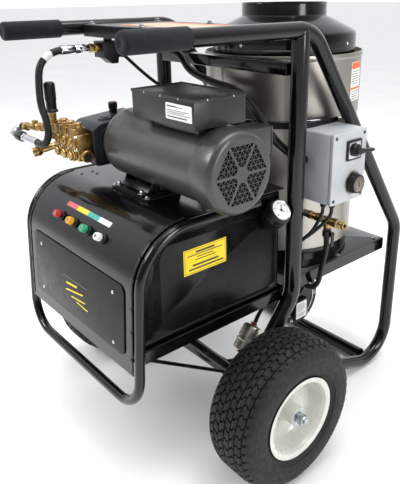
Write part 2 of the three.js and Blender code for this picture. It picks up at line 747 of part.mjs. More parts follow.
function heatingCoilShape() {
  const stepsPerTurn = 12;
  const start = Math.asin((TEE_Y - HEATER_Y) / COIL_R);
  const points = [];
  const tangents = [];
  const pitch = 90;
  for (let i = 0; i <= COIL_TURNS * stepsPerTurn; i += 1) {
    const angle = start + (2 * Math.PI * i) / stepsPerTurn;
    const height = TEE_Z + (pitch * i) / stepsPerTurn;
    points.push(new THREE.Vector3(COIL_R * Math.cos(angle), HEATER_Y + COIL_R * Math.sin(angle), height));
    const rise = pitch / (2 * Math.PI * COIL_R);
    tangents.push(new THREE.Vector3(-Math.sin(angle), Math.cos(angle), rise).normalize());
  }
  const coil = tubeAlong(new Route(points, tangents), 13, 5);
  return join(coil, bar([COIL_R * Math.cos(start) - 6, TEE_Y, TEE_Z], [245.6, TEE_Y, TEE_Z], 10.5, 12));
}

const BLOWER = [325, 300];

function burnerHousingShape() {
  const [y, z] = BLOWER;
  const across = (x) => [x, y, z];
  const outer = join(
    bar(across(60), across(185), 85, 24),
    box([-90, 120], [330, 504], [330, PLATFORM_Z - 4 - GAP]),
    bar(across(-50), across(62), 52, 16),
    chamferedBox([184, 200], [291, 348], [237, 307], 3),
  );
  const inner = join(
    bar(across(64), across(175), 80, 24),
    box([-84, 114], [336, 498], [336, PLATFORM_Z + 10]),
    bar(across(20), across(66), 5.6, 12),
  );
  return cut(outer, inner);
}

function blowerWheelShape() {
  const [y, z] = BLOWER;
  return turned([
    [30, 0], [30, 5], [72, 5], [72, 58], [150, 58], [150, 44], [80, 44], [80, 12], [120, 12], [120, 0],
  ], [0, y, z], [1, 0, 0], 16);
}

const SWITCH = [312, 832];
const THERMOSTAT = [317, 739];
const BOX_FACE_X = 362;

// The electrical box, its mounting plate, the switch's plate and the thermostat's ring.
function controlBoxShape() {
  const [switchY, switchZ] = SWITCH;
  return join(
    chamferedBox([260, BOX_FACE_X], [227, 369], [689, 884], 3),
    box([255.5, 261], [229, 372], [700, 898]),
    chamferedBox(
      [BOX_FACE_X - 1, BOX_FACE_X + 6], [switchY - 31, switchY + 31], [switchZ - 28, switchZ + 28], 1.5),
    bar([BOX_FACE_X - 1, ...THERMOSTAT], [BOX_FACE_X + 3, ...THERMOSTAT], 33, 24),
    bar([345, 256, 690], [345, 256, 676], 9, 12),
    bar([325, 244, 690], [325, 244, 676], 9, 12),
  );
}

function switchLeverShape() {
  const [y, z] = SWITCH;
  const x = BOX_FACE_X + 6.4;
  return join(
    bar([x, y, z], [x + 10, y, z], 17, 20),
    hull([
      [x + 8, y - 6, z - 8], [x + 8, y - 6, z + 8], [x + 22, y - 6, z - 6], [x + 22, y - 6, z + 6],
      [x + 9, y + 62, z - 13], [x + 9, y + 62, z + 1], [x + 19, y + 62, z - 12], [x + 19, y + 62, z],
    ]),
  );
}

function thermostatKnobShape() {
  return turned([
    [0, 0], [0, 28], [6, 28], [8, 27], [18, 26], [20, 24.5], [20, 0],
  ], [BOX_FACE_X + 3.4, ...THERMOSTAT], [1, 0, 0], 20);
}

function outletTeeShape() {
  const along = (profile, sides) => turned(profile, [0, TEE_Y, TEE_Z], [1, 0, 0], sides);
  return join(
    along([[246, 0], [246, 14], [258, 14], [258, 0]], 6),
    along([[257, 0], [257, 10], [281, 10], [281, 0]], 14),
    along([[272, 0], [272, 14], [286, 14], [286, 0]], 6),
    along([[285, 0], [285, 12], [337, 12], [337, 0]], 12),
    along([[334, 0], [334, 14.5], [347, 14.5], [347, 0]], 6),
    along([[346, 0], [346, 11], [370, 11], [370, 6], [350, 6], [350, 0]], 12),
    bar([311, TEE_Y, TEE_Z], [311, TEE_Y, 601], 10.5, 14),
  );
}

function shutoffValveShape() {
  return join(
    bar([311, TEE_Y, 600.5], [311, TEE_Y, 592], 11, 6),
    bar([311, TEE_Y, 593], [311, TEE_Y, 572], 13, 14),
    bar([311, TEE_Y, 573], [311, TEE_Y, 560], 9, 6),
    bar([311, TEE_Y, 583], [327, TEE_Y, 583], 6, 12),
  );
}

function shutoffLeverShape() {
  return join(
    bar([327.4, TEE_Y, 583], [333, TEE_Y, 583], 8, 12),
    box([329, 332.6], [TEE_Y - 6, TEE_Y + 6], [546, 590]),
  );
}

function addHeater() {
  add('heater_shell', heaterShellShape(), 'greyJacket');
  add('heater_wrap', heaterWrapShape(), 'stainless');
  add('flue_cowl', flueCowlShape(), 'blackPaint');
  add('heating_coil', heatingCoilShape(), 'copper');
  add('burner_housing', burnerHousingShape(), 'blackPaint');
  add('blower_wheel', blowerWheelShape(), 'zinc');
  add('control_box', controlBoxShape(), 'boxGrey');
  add('switch_lever', switchLeverShape(), 'blackPlastic');
  add('thermostat_knob', thermostatKnobShape(), 'blackPlastic');
  add('outlet_tee', outletTeeShape(), 'brass');
  add('shutoff_valve', shutoffValveShape(), 'brass');
  add('shutoff_lever', shutoffLeverShape(), 'blackPlastic');
}

// --- Fuel filter, hoses and cables ---

function fuelFilterShape() {
  const foot = [215, 42, 252];
  const direction = [0, 51, 66];
  return turned([
    [-8, 0], [-8, 7], [0, 7], [4, 29], [30, 29], [32, 31], [38, 31], [40, 29], [78, 29],
    [82, 7], [90, 7], [90, 0],
  ], foot, direction, 16);
}

function addLines() {
  add('fuel_filter', fuelFilterShape(), 'zinc');
  add('fuel_supply_hose', hose([
    [200, -125, 440], [200, -125, 400], [200, -119, 345], [200, -86, 281], [202, -35, 247], [210, 3, 232],
    [214.7, 27, 232.5], [215, 36.8, 245.4],
  ], 6, 14, 8), 'hose');
  add('fuel_feed_hose', hose([
    [215, 97.4, 323.7], [214, 108, 338], [206, 146, 362], [184, 196, 364], [146, 224, 345],
    [122, 240.6, 331.4],
  ], 6, 10, 8), 'hose');
  add('drain_hose', hose([
    [311, 285, 559.2], [311, 285, 535], [303, 286, 495], [293, 288, 450], [284, 290, 415], [262, 294, 388],
    [225, 300, 380],
  ], 8, 12, 8), 'hose');
  add('cable_conduit', hose([
    [-250, -18, 1080], [-250, -2, 1080.5], [-240, 30, 1082], [-205, 88, 1078], [-149, 124, 1061],
    [-94, 126, 1018],
    [5, 126, 993], [100, 126, 981], [150, 126, 958], [200, 128, 912], [230, 154, 858], [257, 194, 816],
    [270, 210, 806], [273, 223.6, 803],
  ], 11, 24, 8), 'hose');
  // Two leads leave the control box, join behind the post and run down to the burner as one.
  const meeting = [286, 206, 575];
  add('burner_cable', join(
    hose([
      [345, 256, 675.6], [344, 255, 658], [334, 247, 636], [312, 228, 605], meeting, [262, 196, 545],
      [250, 188, 500], [247, 186, 450], [244, 188, 410], [236, 205, 375], [222, 245, 350], [205, 300, 338],
      [189.4, 335, 338],
    ], 5, 22, 8),
    hose([[325, 244, 675.6], [324, 243, 660], [318, 236, 636], [306, 223, 603], meeting], 5, 8, 8),
  ), 'hose');
  add('switch_cable', hose([
    [-236, -17.4, 1063.6], [-235, -10, 1061], [-222, 3, 1045], [-200, 18, 1022], [-165, 52, 982],
    [-100, 84, 948], [50, 96, 920], [190, 98, 900], [250, 92, 893], [266, 76, 891], [268, 63.4, 890],
  ], 5, 24, 8), 'hose');
}

addFrame();
addWheels();
addTank();
addMotor();
addPump();
addHeater();
addLines();

// The origin goes under the middle of the whole cart, on the floor.
const bounds = new THREE.Box3().setFromObject(group);
group.position.y = -(bounds.min.y + bounds.max.y) / 2;
group.position.z = -bounds.min.z;

export default group;
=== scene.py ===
"""Portable hot-water pressure washer: the detailed model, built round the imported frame.

Shapes are written in millimetres in cart coordinates: X along the axle, Y from the axle
towards the heater, Z up from the floor. at() turns them into the frame's metres.
"""
import math
import random

import bmesh
import bpy
from mathutils import Matrix, Vector
from mathutils.geometry import delaunay_2d_cdt


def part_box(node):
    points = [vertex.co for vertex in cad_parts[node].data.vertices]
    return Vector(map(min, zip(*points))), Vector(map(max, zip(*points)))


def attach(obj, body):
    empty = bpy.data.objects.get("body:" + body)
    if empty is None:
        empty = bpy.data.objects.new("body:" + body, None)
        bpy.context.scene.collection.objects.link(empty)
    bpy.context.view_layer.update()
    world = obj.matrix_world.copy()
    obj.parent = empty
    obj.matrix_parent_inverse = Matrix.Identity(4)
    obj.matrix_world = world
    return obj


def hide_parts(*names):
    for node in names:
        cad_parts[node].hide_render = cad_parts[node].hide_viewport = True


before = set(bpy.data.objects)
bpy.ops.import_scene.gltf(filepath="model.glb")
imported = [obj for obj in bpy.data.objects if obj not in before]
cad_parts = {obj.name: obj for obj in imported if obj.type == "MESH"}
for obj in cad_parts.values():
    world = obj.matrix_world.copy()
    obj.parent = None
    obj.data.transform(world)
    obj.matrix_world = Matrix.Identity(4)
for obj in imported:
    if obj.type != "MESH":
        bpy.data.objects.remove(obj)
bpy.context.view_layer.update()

random.seed(23)

MM = 0.001
TYRE_LOW, TYRE_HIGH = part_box("tyre_near")
AXLE_Y = (TYRE_LOW.y + TYRE_HIGH.y) / 2  # where the axle lies in the frame, in metres


def at(point):
    x, y, z = point
    return Vector((x * MM, y * MM + AXLE_Y, z * MM))


# --- Shapes: each is (vertices, faces), in cart millimetres ---

def merge(*shapes):
    verts, faces = [], []
    for more_verts, more_faces in shapes:
        base = len(verts)
        verts += [Vector(v) for v in more_verts]
        faces += [[i + base for i in face] for face in more_faces]
    return verts, faces


def basis(direction, up=(0, 0, 1)):
    """Direction with two axes square to it."""
    axis = Vector(direction).normalized()
    up = Vector(up)
    if abs(axis.dot(up)) > 0.95:
        up = Vector((0, 1, 0))
    side = up.cross(axis).normalized()
    return axis, side, axis.cross(side)


def rounded(points, radius, steps=3, closed=True):
    """A flat outline with its corners eased, each by a short curve."""
    points = [Vector(p) for p in points]
    result = []
    for i, point in enumerate(points):
        if not closed and i in (0, len(points) - 1):
            result.append(point)
            continue
        before, after = points[i - 1] - point, points[(i + 1) % len(points)] - point
        reach = min(radius, 0.45 * before.length, 0.45 * after.length)
        start, end = point + before.normalized() * reach, point + after.normalized() * reach
        for k in range(steps + 1):
            t = k / steps
            result.append(start * (1 - t) ** 2 + point * 2 * t * (1 - t) + end * t ** 2)
    return result


def lathe(profile, origin, direction=(0, 0, 1), sides=48, ease=0, radius_at=None, up=(0, 0, 1)):
    """Turns (distance along, radius) pairs about an axis. A profile off the axis is closed."""
    closed = profile[0][1] > 0
    if ease:
        profile = rounded(profile, ease, closed=closed)
    axis, side, across = basis(direction, up)
    origin = Vector(origin)
    verts, faces, rings = [], [], []
    for along, radius in profile:
        if radius < 1e-6:
            rings.append([len(verts)] * sides)
            verts.append(origin + axis * along)
            continue
        rings.append(range(len(verts), len(verts) + sides))
        for k in range(sides):
            angle = 2 * math.pi * (k + 0.5) / sides
            r = radius_at(along, radius, angle) if radius_at else radius
            spoke = side * math.cos(angle) + across * math.sin(angle)
            verts.append(origin + axis * along + spoke * r)
    pairs = list(zip(rings, rings[1:])) + ([(rings[-1], rings[0])] if closed else [])
    for low, high in pairs:
        for k in range(sides):
            n = (k + 1) % sides
            face = list(dict.fromkeys([low[k], low[n], high[n], high[k]]))
            if len(face) > 2:
                faces.append(face)
    return verts, faces


def circle(radius, sides=24):
    return [(radius * math.cos(2 * math.pi * k / sides), radius * math.sin(2 * math.pi * k / sides))
            for k in range(sides)]


def sweep(points, section, up=(0, 0, 1), start_cut=None):
    """A section carried along a path without twist. start_cut moves the first ring's points."""
    points = [Vector(p) for p in points]
    steps = [(b - a).normalized() for a, b in zip(points, points[1:])]
    tangents = [steps[0]] + [(a + b).normalized() for a, b in zip(steps, steps[1:])] + [steps[-1]]
    normal = basis(tangents[0], up)[2]
    verts, faces, n = [], [], len(section)
    for point, tangent in zip(points, tangents):
        normal = (normal - tangent * normal.dot(tangent)).normalized()
        other = normal.cross(tangent)
        verts += [point + other * u + normal * v for u, v in section]
    if start_cut:
        verts[:n] = [start_cut(v) for v in verts[:n]]
    for ring in range(len(points) - 1):
        for k in range(n):
            a, b = ring * n + k, ring * n + (k + 1) % n
            faces.append([a, b, b + n, a + n])
    faces += [list(range(n))[::-1], list(range(len(verts) - n, len(verts)))]
    return verts, faces


def tube(points, radius, sides=24):
    return sweep(points, circle(radius, sides))


def bent(corners, bends, steps=12):
    """Straight runs joined by arcs of the given radii."""
    nodes = [Vector(c) for c in corners]
    path = [nodes[0]]
    for before, node, after, radius in zip(nodes, nodes[1:], nodes[2:], bends):
        into, out = (node - before).normalized(), (after - node).normalized()
        turn = into.angle(out)
        start = node - into * radius * math.tan(turn / 2)
        axis = into.cross(out).normalized()
        centre = start + axis.cross(into) * radius
        path += [centre + Matrix.Rotation(turn * k / steps, 3, axis) @ (start - centre)
                 for k in range(steps + 1)]
    return path + [nodes[-1]]


def smooth_path(points, per_span=8):
    """A centripetal Catmull-Rom curve through the points."""
    points = [Vector(p) for p in points]
    points = [points[0] * 2 - points[1]] + points + [points[-1] * 2 - points[-2]]
    path = []
    for p0, p1, p2, p3 in zip(points, points[1:], points[2:], points[3:]):
        d0, d1, d2 = [max((b - a).length, 1e-4) ** 0.5 for a, b in ((p0, p1), (p1, p2), (p2, p3))]
        m1 = ((p1 - p0) / d0 - (p2 - p0) / (d0 + d1) + (p2 - p1) / d1) * d1
        m2 = ((p2 - p1) / d1 - (p3 - p1) / (d1 + d2) + (p3 - p2) / d2) * d1
        for k in range(per_span):
            t = k / per_span
            path.append(p1 * (2 * t ** 3 - 3 * t ** 2 + 1) + m1 * (t ** 3 - 2 * t ** 2 + t)
                        + p2 * (3 * t ** 2 - 2 * t ** 3) + m2 * (t ** 3 - t ** 2))
    return path + [points[-2]]


def prism(outline, axis, span):
    """A flat outline pulled along X, Y or Z. It is drawn in the other two axes, in their order."""
    def place(u, v, w):
        return {"x": (w, u, v), "y": (u, w, v), "z": (u, v, w)}[axis]
    n = len(outline)
    verts = [Vector(place(p[0], p[1], w)) for w in span for p in outline]
    faces = [[k, (k + 1) % n, (k + 1) % n + n, k + n] for k in range(n)]
    return verts, faces + [list(range(n))[::-1], list(range(n, 2 * n))]


def block(x, y, z):
    return prism([(x[0], y[0]), (x[1], y[0]), (x[1], y[1]), (x[0], y[1])], "z", z)


def rectangle(u, v, radius=0, steps=6):
    corners = [(u[0], v[0]), (u[1], v[0]), (u[1], v[1]), (u[0], v[1])]
    if not radius:
        return corners
    points = []
    for (cu, cv), start in zip(((u[1] - radius, v[0] + radius), (u[1] - radius, v[1] - radius),
                                (u[0] + radius, v[1] - radius), (u[0] + radius, v[0] + radius)),
                               (-90, 0, 90, 180)):
        for k in range(steps + 1):
            angle = math.radians(start + 90 * k / steps)
            points.append((cu + radius * math.cos(angle), cv + radius * math.sin(angle)))
    return points


def plate(outline, holes, axis, span):
    """A flat plate with holes through it, triangulated between them."""
    loops = [list(outline)] + [list(h) for h in holes]
    flat, edges = [], []
    for loop in loops:
        base, n = len(flat), len(loop)
        flat += [Vector(p) for p in loop]
        edges += [(base + k, base + (k + 1) % n) for k in range(n)]
    points, _, triangles, *_ = delaunay_2d_cdt(flat, edges, [], 1, 1e-6)

    def inside(p, loop):
        odd = False
        for a, b in zip(loop, loop[1:] + loop[:1]):
            if (a[1] > p[1]) == (b[1] > p[1]):
                continue
            if p[0] < (b[0] - a[0]) * (p[1] - a[1]) / (b[1] - a[1]) + a[0]:
                odd = not odd
        return odd
    kept = []
    for triangle in triangles:
        middle = sum((Vector(points[i]) for i in triangle), Vector((0, 0))) / 3
        if inside(middle, loops[0]) and not any(inside(middle, h) for h in loops[1:]):
            kept.append(list(triangle))
    n = len(points)
    place = {"x": lambda u, v, w: (w, u, v),
             "y": lambda u, v, w: (u, w, v),
             "z": lambda u, v, w: (u, v, w)}[axis]
    verts = [Vector(place(p[0], p[1], w)) for w in span for p in points]
    faces = [t[::-1] for t in kept] + [[i + n for i in t] for t in kept]
    count = {}
    for t in kept:
        for a, b in zip(t, t[1:] + t[:1]):
            count[frozenset((a, b))] = count.get(frozenset((a, b)), []) + [(a, b)]
    faces += [[a, b, b + n, a + n] for uses in count.values() if len(uses) == 1 for a, b in uses]
    return verts, faces


def moved(shape, matrix):
    return [matrix @ Vector(v) for v in shape[0]], shape[1]


# --- Fasteners ---

def hex_bolt(origin, direction, across=10, height=5, washer=2.0):
    """A hexagon head with a domed top on a washer."""
    head = lathe([(washer, 0), (washer, across * 0.56), (washer + height * 0.85, across * 0.56),
                  (washer + height, across * 0.48), (washer + height, 0)], origin, direction, 6)
    ring = lathe([(0, 0), (0, across * 0.95), (washer, across * 0.95), (washer, 0)], origin,
                 direction, 24, 0.4)
    return merge(head, ring)


def pan_screw(origin, direction, radius=4, height=2.4):
    """A domed screw head with a driver recess."""
    dome = [(0, 0), (0, radius)] + [
        (height * math.sin(a), radius * math.cos(a)) for a in (0.35, 0.7, 1.05, 1.3)]
    return lathe(dome + [(height * 0.97, radius * 0.22), (height * 0.45, radius * 0.16),
                         (height * 0.45, 0)],
                 origin, direction, 16)


# --- Pieces ---

def piece(name, shape, finish, body="cart", slot=None, stands_for=(), bevel=0.0, sharp=32,
          segments=2):
    """Makes an object from a shape, eases its sharp edges, and ties it to its body and slot.

    Without a slot, its finish's usual one is looked up; the slot is not used.
    """
    mesh = bpy.data.meshes.new(name)
    mesh.from_pydata([at(v) for v in shape[0]], [], shape[1])
    bm = bmesh.new()
    bm.from_mesh(mesh)
    bmesh.ops.remove_doubles(bm, verts=bm.verts, dist=2e-6)
    bmesh.ops.dissolve_degenerate(bm, edges=bm.edges, dist=1e-6)
    bmesh.ops.recalc_face_normals(bm, faces=bm.faces)
    limit = math.radians(sharp)
    if bevel:
        edges = [e for e in bm.edges if len(e.link_faces) == 2 and e.calc_face_angle() > limit]
        bmesh.ops.bevel(bm, geom=edges, offset=bevel * MM, segments=segments, profile=0.5,
                        affect="EDGES", clamp_overlap=True)
    for face in bm.faces:
        face.smooth = True
    for edge in bm.edges:
        edge.smooth = len(edge.link_faces) == 2 and edge.calc_face_angle() < limit
    bm.to_mesh(mesh)
    bm.free()
    made = bpy.data.objects.new(name, mesh)
    bpy.context.scene.collection.objects.link(made)
    mesh.materials.append(finish)
    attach(made, body)
    if slot is None:  # a finish that shares its name with one of the frame's ends in .001
        slot = USUAL_SLOT.get(finish.name.split(".")[0])
    if stands_for:
        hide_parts(*([stands_for] if isinstance(stands_for, str) else stands_for))
    return made


# --- Finishes ---

def linear(hex_colour):
    values = [int(hex_colour[i:i + 2], 16) / 255 for i in (1, 3, 5)]
    return [v / 12.92 if v <= 0.04045 else ((v + 0.055) / 1.055) ** 2.4 for v in values] + [1.0]


class Finish:
    """A node material: patchy colour, uneven gloss, a fine grain, and worn or dusty specks."""

    def __init__(self, name):
        self.material = bpy.data.materials.new(name)
        self.material.use_nodes = True
        self.tree = self.material.node_tree
        self.shader = self.tree.nodes["Principled BSDF"]
        self.coords = self.tree.nodes.new("ShaderNodeTexCoord").outputs["Object"]

    def node(self, kind, **settings):
        made = self.tree.nodes.new("ShaderNode" + kind)
        for key, value in settings.items():
            setattr(made, key, value)
        return made

    def link(self, source, target):
        self.tree.links.new(source, target)

    def noise(self, scale, detail=4.0, stretch=(1, 1, 1), roughness=0.55):
        mapping = self.node("Mapping")
        mapping.inputs["Scale"].default_value = stretch
        self.link(self.coords, mapping.inputs["Vector"])
        made = self.node("TexNoise")
        made.inputs["Scale"].default_value = scale
        made.inputs["Detail"].default_value = detail
        made.inputs["Roughness"].default_value = roughness
        self.link(mapping.outputs["Vector"], made.inputs["Vector"])
        return made.outputs["Fac"]

    def cells(self, scale, feature="F1"):
        made = self.node("TexVoronoi", feature=feature)
        made.inputs["Scale"].default_value = scale
        self.link(self.coords, made.inputs["Vector"])
        return made.outputs["Distance"]

    def ramp(self, source, low, high, low_out=0.0, high_out=1.0):
        made = self.node("MapRange")
        for key, value in zip(("From Min", "From Max", "To Min", "To Max"),
                              (low, high, low_out, high_out)):
            made.inputs[key].default_value = value
        self.link(source, made.inputs["Value"])
        return made.outputs["Result"]

    def mix(self, fac, first, second):
        made = self.node("Mix", data_type="RGBA")
        self.link(fac, made.inputs["Factor"])
        for socket, value in ((made.inputs["A"], first), (made.inputs["B"], second)):
            socket = [s for s in made.inputs if s.name == socket.name and s.type == "RGBA"][0]
            if isinstance(value, str):
                socket.default_value = linear(value)
            else:
                self.link(value, socket)
        return [s for s in made.outputs if s.type == "RGBA"][0]

    def bump(self, heights):
        """Adds up (height source, strength, distance in metres) into the shader's normal."""
        last = None
        for source, strength, distance in heights:
            made = self.node("Bump")
            made.inputs["Strength"].default_value = strength
            made.inputs["Distance"].default_value = distance
            self.link(source, made.inputs["Height"])
            if last:
                self.link(last, made.inputs["Normal"])
            last = made.outputs["Normal"]
        self.link(last, self.shader.inputs["Normal"])


def surface(name, base, shade, rough, metallic=0.0, coat=0.0, patch=22, grain=(900, 0.25, 0.0002),
            stretch=(1, 1, 1), speck=None, sheen=0.0, extra=(), specular=0.5, peel=None):
    """rough is (low, high), grain (scale, strength, distance), speck (colour, scale, threshold)."""
    f = Finish(name)
    colour = f.mix(f.ramp(f.noise(patch, 5), 0.35, 0.68), base, shade)
    gloss = f.ramp(f.noise(patch * 2.3, 6, stretch), 0.3, 0.72, *rough)
    fine = f.noise(grain[0], 3, stretch)
    colour = f.mix(f.ramp(fine, 0.42, 0.75, 0.0, 0.35), colour, shade)
    if speck:
        spots = f.ramp(f.noise(speck[1], 8, roughness=0.7), speck[2], speck[2] + 0.05, 0.0, 0.8)
        colour = f.mix(spots, colour, speck[0])
        add = f.node("Math", operation="MULTIPLY_ADD")
        f.link(spots, add.inputs[0])
        add.inputs[1].default_value = 0.35
        f.link(gloss, add.inputs[2])
        gloss = add.outputs[0]
    f.link(colour, f.shader.inputs["Base Color"])
    f.link(gloss, f.shader.inputs["Roughness"])
    heights = [(fine, grain[1], grain[2])]
    if peel:
        heights.append((f.noise(peel[0], 2), peel[1], 0.0006))
    for kind, scale, strength, distance in extra:
        heights.append((f.cells(scale) if kind == "cells" else f.noise(scale, 6), strength,
                        distance))
    f.bump(heights)
    f.shader.inputs["Metallic"].default_value = metallic
    f.shader.inputs["Coat Weight"].default_value = coat
    f.shader.inputs["Coat Roughness"].default_value = 0.06
    f.shader.inputs["Specular IOR Level"].default_value = specular
    f.shader.inputs["Sheen Weight"].default_value = sheen
    return f.material


GLOSS_BLACK = surface("gloss_black_paint", "#050506", "#0a0a0c", (0.10, 0.2), coat=0.25, patch=14,
                      grain=(1400, 0.10, 0.0001), speck=("#34332f", 210, 0.74), peel=(170, 0.08),
                      specular=0.3)
SATIN_BLACK = surface("satin_black_paint", "#08080a", "#0e0e10", (0.24, 0.38), patch=18,
                      grain=(1100, 0.25, 0.0001), speck=("#3c3a36", 170, 0.72), specular=0.3)
MOTOR_GREY = surface("motor_grey_paint", "#3a3a39", "#2f2f2f", (0.27, 0.38), coat=0.15, patch=16,
                     grain=(1200, 0.3, 0.00012), speck=("#77746c", 190, 0.74), peel=(240, 0.10))
CASE_GREY = surface("case_grey_paint", "#2b2a27", "#242320", (0.25, 0.4), patch=16,
                    grain=(1200, 0.3, 0.00012), speck=("#8b877d", 150, 0.70), peel=(240, 0.10),
                    specular=0.4)
# The crankcase's dark cast paint; its blue tint is a painted reflection of the sky, mixed into the
# colour.
CAST_BLACK_SKY_TINT = surface("cast_black_paint", "#14161b", "#1c1e24", (0.36, 0.5), patch=24,
                     grain=(700, 0.5, 0.0003), speck=("#3c3b3a", 160, 0.71), specular=0.4)
# A flat, very dark finish for the painted shade behind the fan grille.
GRILLE_SHADE = surface("grille_dark", "#050506", "#0a0a0a", (0.6, 0.8), grain=(700, 0.3, 0.0002),
                      specular=0.2)
FOAM = surface("grip_foam", "#141519", "#1c1d22", (0.82, 0.95), patch=60, grain=(2600, 0.5, 0.0004),
               sheen=0.08, extra=(("cells", 1500, 0.45, 0.0005), ("noise", 300, 0.2, 0.0006)),
               specular=0.2)
RUBBER = surface("hose_rubber", "#0c0d10", "#16171a", (0.4, 0.58), patch=40,
                 grain=(1500, 0.35, 0.0002),
                 speck=("#3a3934", 130, 0.69), specular=0.35)
SHEATH = surface("cable_sheath", "#08090a", "#101113", (0.34, 0.48), patch=40,
                 grain=(1800, 0.2, 0.0001),
                 specular=0.35)
POLY = surface("tank_polyethylene", "#060607", "#0c0c0e", (0.2, 0.34), patch=9,
               grain=(420, 0.18, 0.0004),
               speck=("#1c1b18", 70, 0.68), extra=(("noise", 1600, 0.2, 0.0002),), specular=0.2)
BLACK_PLASTIC = surface("black_plastic", "#070708", "#0e0e10", (0.30, 0.46), patch=50,
                        grain=(1700, 0.35, 0.0002), specular=0.35)
PANEL = surface("panel_plastic", "#100f0e", "#171614", (0.30, 0.44), patch=20,
                grain=(1900, 0.5, 0.0002),
                speck=("#2c2b27", 140, 0.7), specular=0.25)
TYRE = surface("tyre_rubber", "#0a0b0d", "#141517", (0.5, 0.75), patch=30,
               grain=(1000, 0.5, 0.0004),
               speck=("#45423a", 120, 0.67), specular=0.35)
RIM = surface("rim_paint", "#d3d3cc", "#c4c4bc", (0.22, 0.36), coat=0.3, patch=16,
              grain=(1300, 0.15, 0.0001),
              speck=("#8e8a7d", 160, 0.73), peel=(200, 0.1))
ZINC = surface("zinc_plate", "#c3c6ca", "#9da2a8", (0.2, 0.36), metallic=1.0, patch=60,
               grain=(900, 0.2, 0.0001), speck=("#7a7c7f", 240, 0.69))
CHROME = surface("bright_plate", "#d6d8db", "#b9bdc2", (0.12, 0.26), metallic=1.0, patch=50,
                 grain=(1200, 0.1, 0.0001))
CAN_PLATE = surface("can_plate", "#e6e2d0", "#cccbc4", (0.3, 0.42), metallic=1.0, patch=24,
                    grain=(900, 0.1, 0.0001))
BRASS = surface("brass", "#bfa169", "#8d6c36", (0.26, 0.46), metallic=1.0, patch=55,
                grain=(800, 0.45, 0.0003), speck=("#4d3a1c", 150, 0.64),
                extra=(("noise", 260, 0.25, 0.0006),))
STAINLESS = surface("stainless_wrap", "#aaa6a0", "#9b9791", (0.30, 0.38), metallic=1.0, patch=3,
                    grain=(700, 0.05, 0.0001), speck=("#857f76", 200, 0.73))
JACKET = surface("jacket_steel", "#b4b0a9", "#a39f98", (0.34, 0.44), metallic=1.0, patch=3,
                 grain=(700, 0.06, 0.0001), speck=("#8a867c", 180, 0.73))
BOX_GREY = surface("box_grey_plastic", "#b4b8bb", "#a9adb0", (0.34, 0.48), patch=14,
                   grain=(1500, 0.4, 0.0002),
                   speck=("#8d8f90", 160, 0.74))
COIL_STEEL = surface("coil_steel", "#6d6a66", "#4a403a", (0.35, 0.6), metallic=1.0, patch=30,
                     grain=(800, 0.4, 0.0002))
DIAL_METAL = surface("dial_metal", "#8f877b", "#766e63", (0.28, 0.4), metallic=1.0, patch=90,
                     grain=(1200, 0.2, 0.0001))
TAN_PLASTIC = surface("tan_plastic", "#8c5c2a", "#744a22", (0.35, 0.5), patch=90,
                      grain=(1500, 0.3, 0.0002))
CREAM_LABEL = surface("cream_label", "#bba68c", "#a78f72", (0.3, 0.45), patch=24,
                      grain=(900, 0.15, 0.0001))
WHITE_LABEL = surface("white_label", "#e6e6e3", "#d8d8d4", (0.4, 0.55), patch=30,
                      grain=(900, 0.15, 0.0001))
DIAL = surface("dial_face", "#f1f1ee", "#e2e2de", (0.25, 0.4), coat=0.4, patch=40,
               grain=(900, 0.1, 0.0001))
YELLOW_LABEL = surface("yellow_label", "#f0d400", "#e2c300", (0.38, 0.55), patch=20,
                       grain=(900, 0.15, 0.0001))
RED_CLAMP = surface("red_plastic", "#b0201c", "#8c1513", (0.35, 0.5), patch=60,
                    grain=(1200, 0.3, 0.0002))
INK = surface("printed_black", "#16171a", "#242528", (0.4, 0.6), patch=60,
              grain=(1200, 0.1, 0.0001))
ORANGE = surface("orange_label", "#e2642c", "#d2561f", (0.4, 0.55), patch=30,
                 grain=(900, 0.15, 0.0001))
COLOURS = {
    tone: surface(f"nozzle_{tone}", base, shade, (0.28, 0.42), patch=90, grain=(1500, 0.3, 0.0002))
    for tone, base, shade in (
        ("red", "#d0252b", "#a5161d"), ("yellow", "#f2b21c", "#d3920c"),
        ("green", "#33b486", "#1f9069"), ("white", "#f2f2ef", "#dcdcd8"))
}
STRIP = {
    "red": surface("strip_red", "#cf5c6a", "#b94a58", (0.4, 0.5), patch=60,
                   grain=(900, 0.1, 0.0001)),
    "yellow": surface("strip_yellow", "#e8c92e", "#d6b71f", (0.4, 0.5), patch=60,
                      grain=(900, 0.1, 0.0001)),
    "green": surface("strip_green", "#3aa596", "#2c8f81", (0.4, 0.5), patch=60,
                     grain=(900, 0.1, 0.0001)),
    "white": WHITE_LABEL,
}

FINISHES_OF_SLOT = {
    "frame_paint": "gloss_black_paint satin_black_paint cast_black_paint cream_label",
    "zinc": "zinc_plate bright_plate dial_metal can_plate red_plastic",
    "black_plastic": "black_plastic printed_black dial_face grille_dark tan_plastic",
    "panel_plastic": "panel_plastic",
    "tank_plastic": "tank_polyethylene yellow_label",
    "motor_paint": "motor_grey_paint case_grey_paint",
    "brass": "brass",
    "hose_rubber": "hose_rubber",
    "tyre_rubber": "tyre_rubber",
    "jacket_steel": "jacket_steel orange_label",
    "stainless": "stainless_wrap",
    "box_grey": "box_grey_plastic",
    "cable_sheath": "cable_sheath",
    "grip_foam": "grip_foam",
    "rim_paint": "rim_paint",
}
USUAL_SLOT = {finish: slot for slot, finishes in FINISHES_OF_SLOT.items()
              for finish in finishes.split()}


# --- Camera, light and floor ---

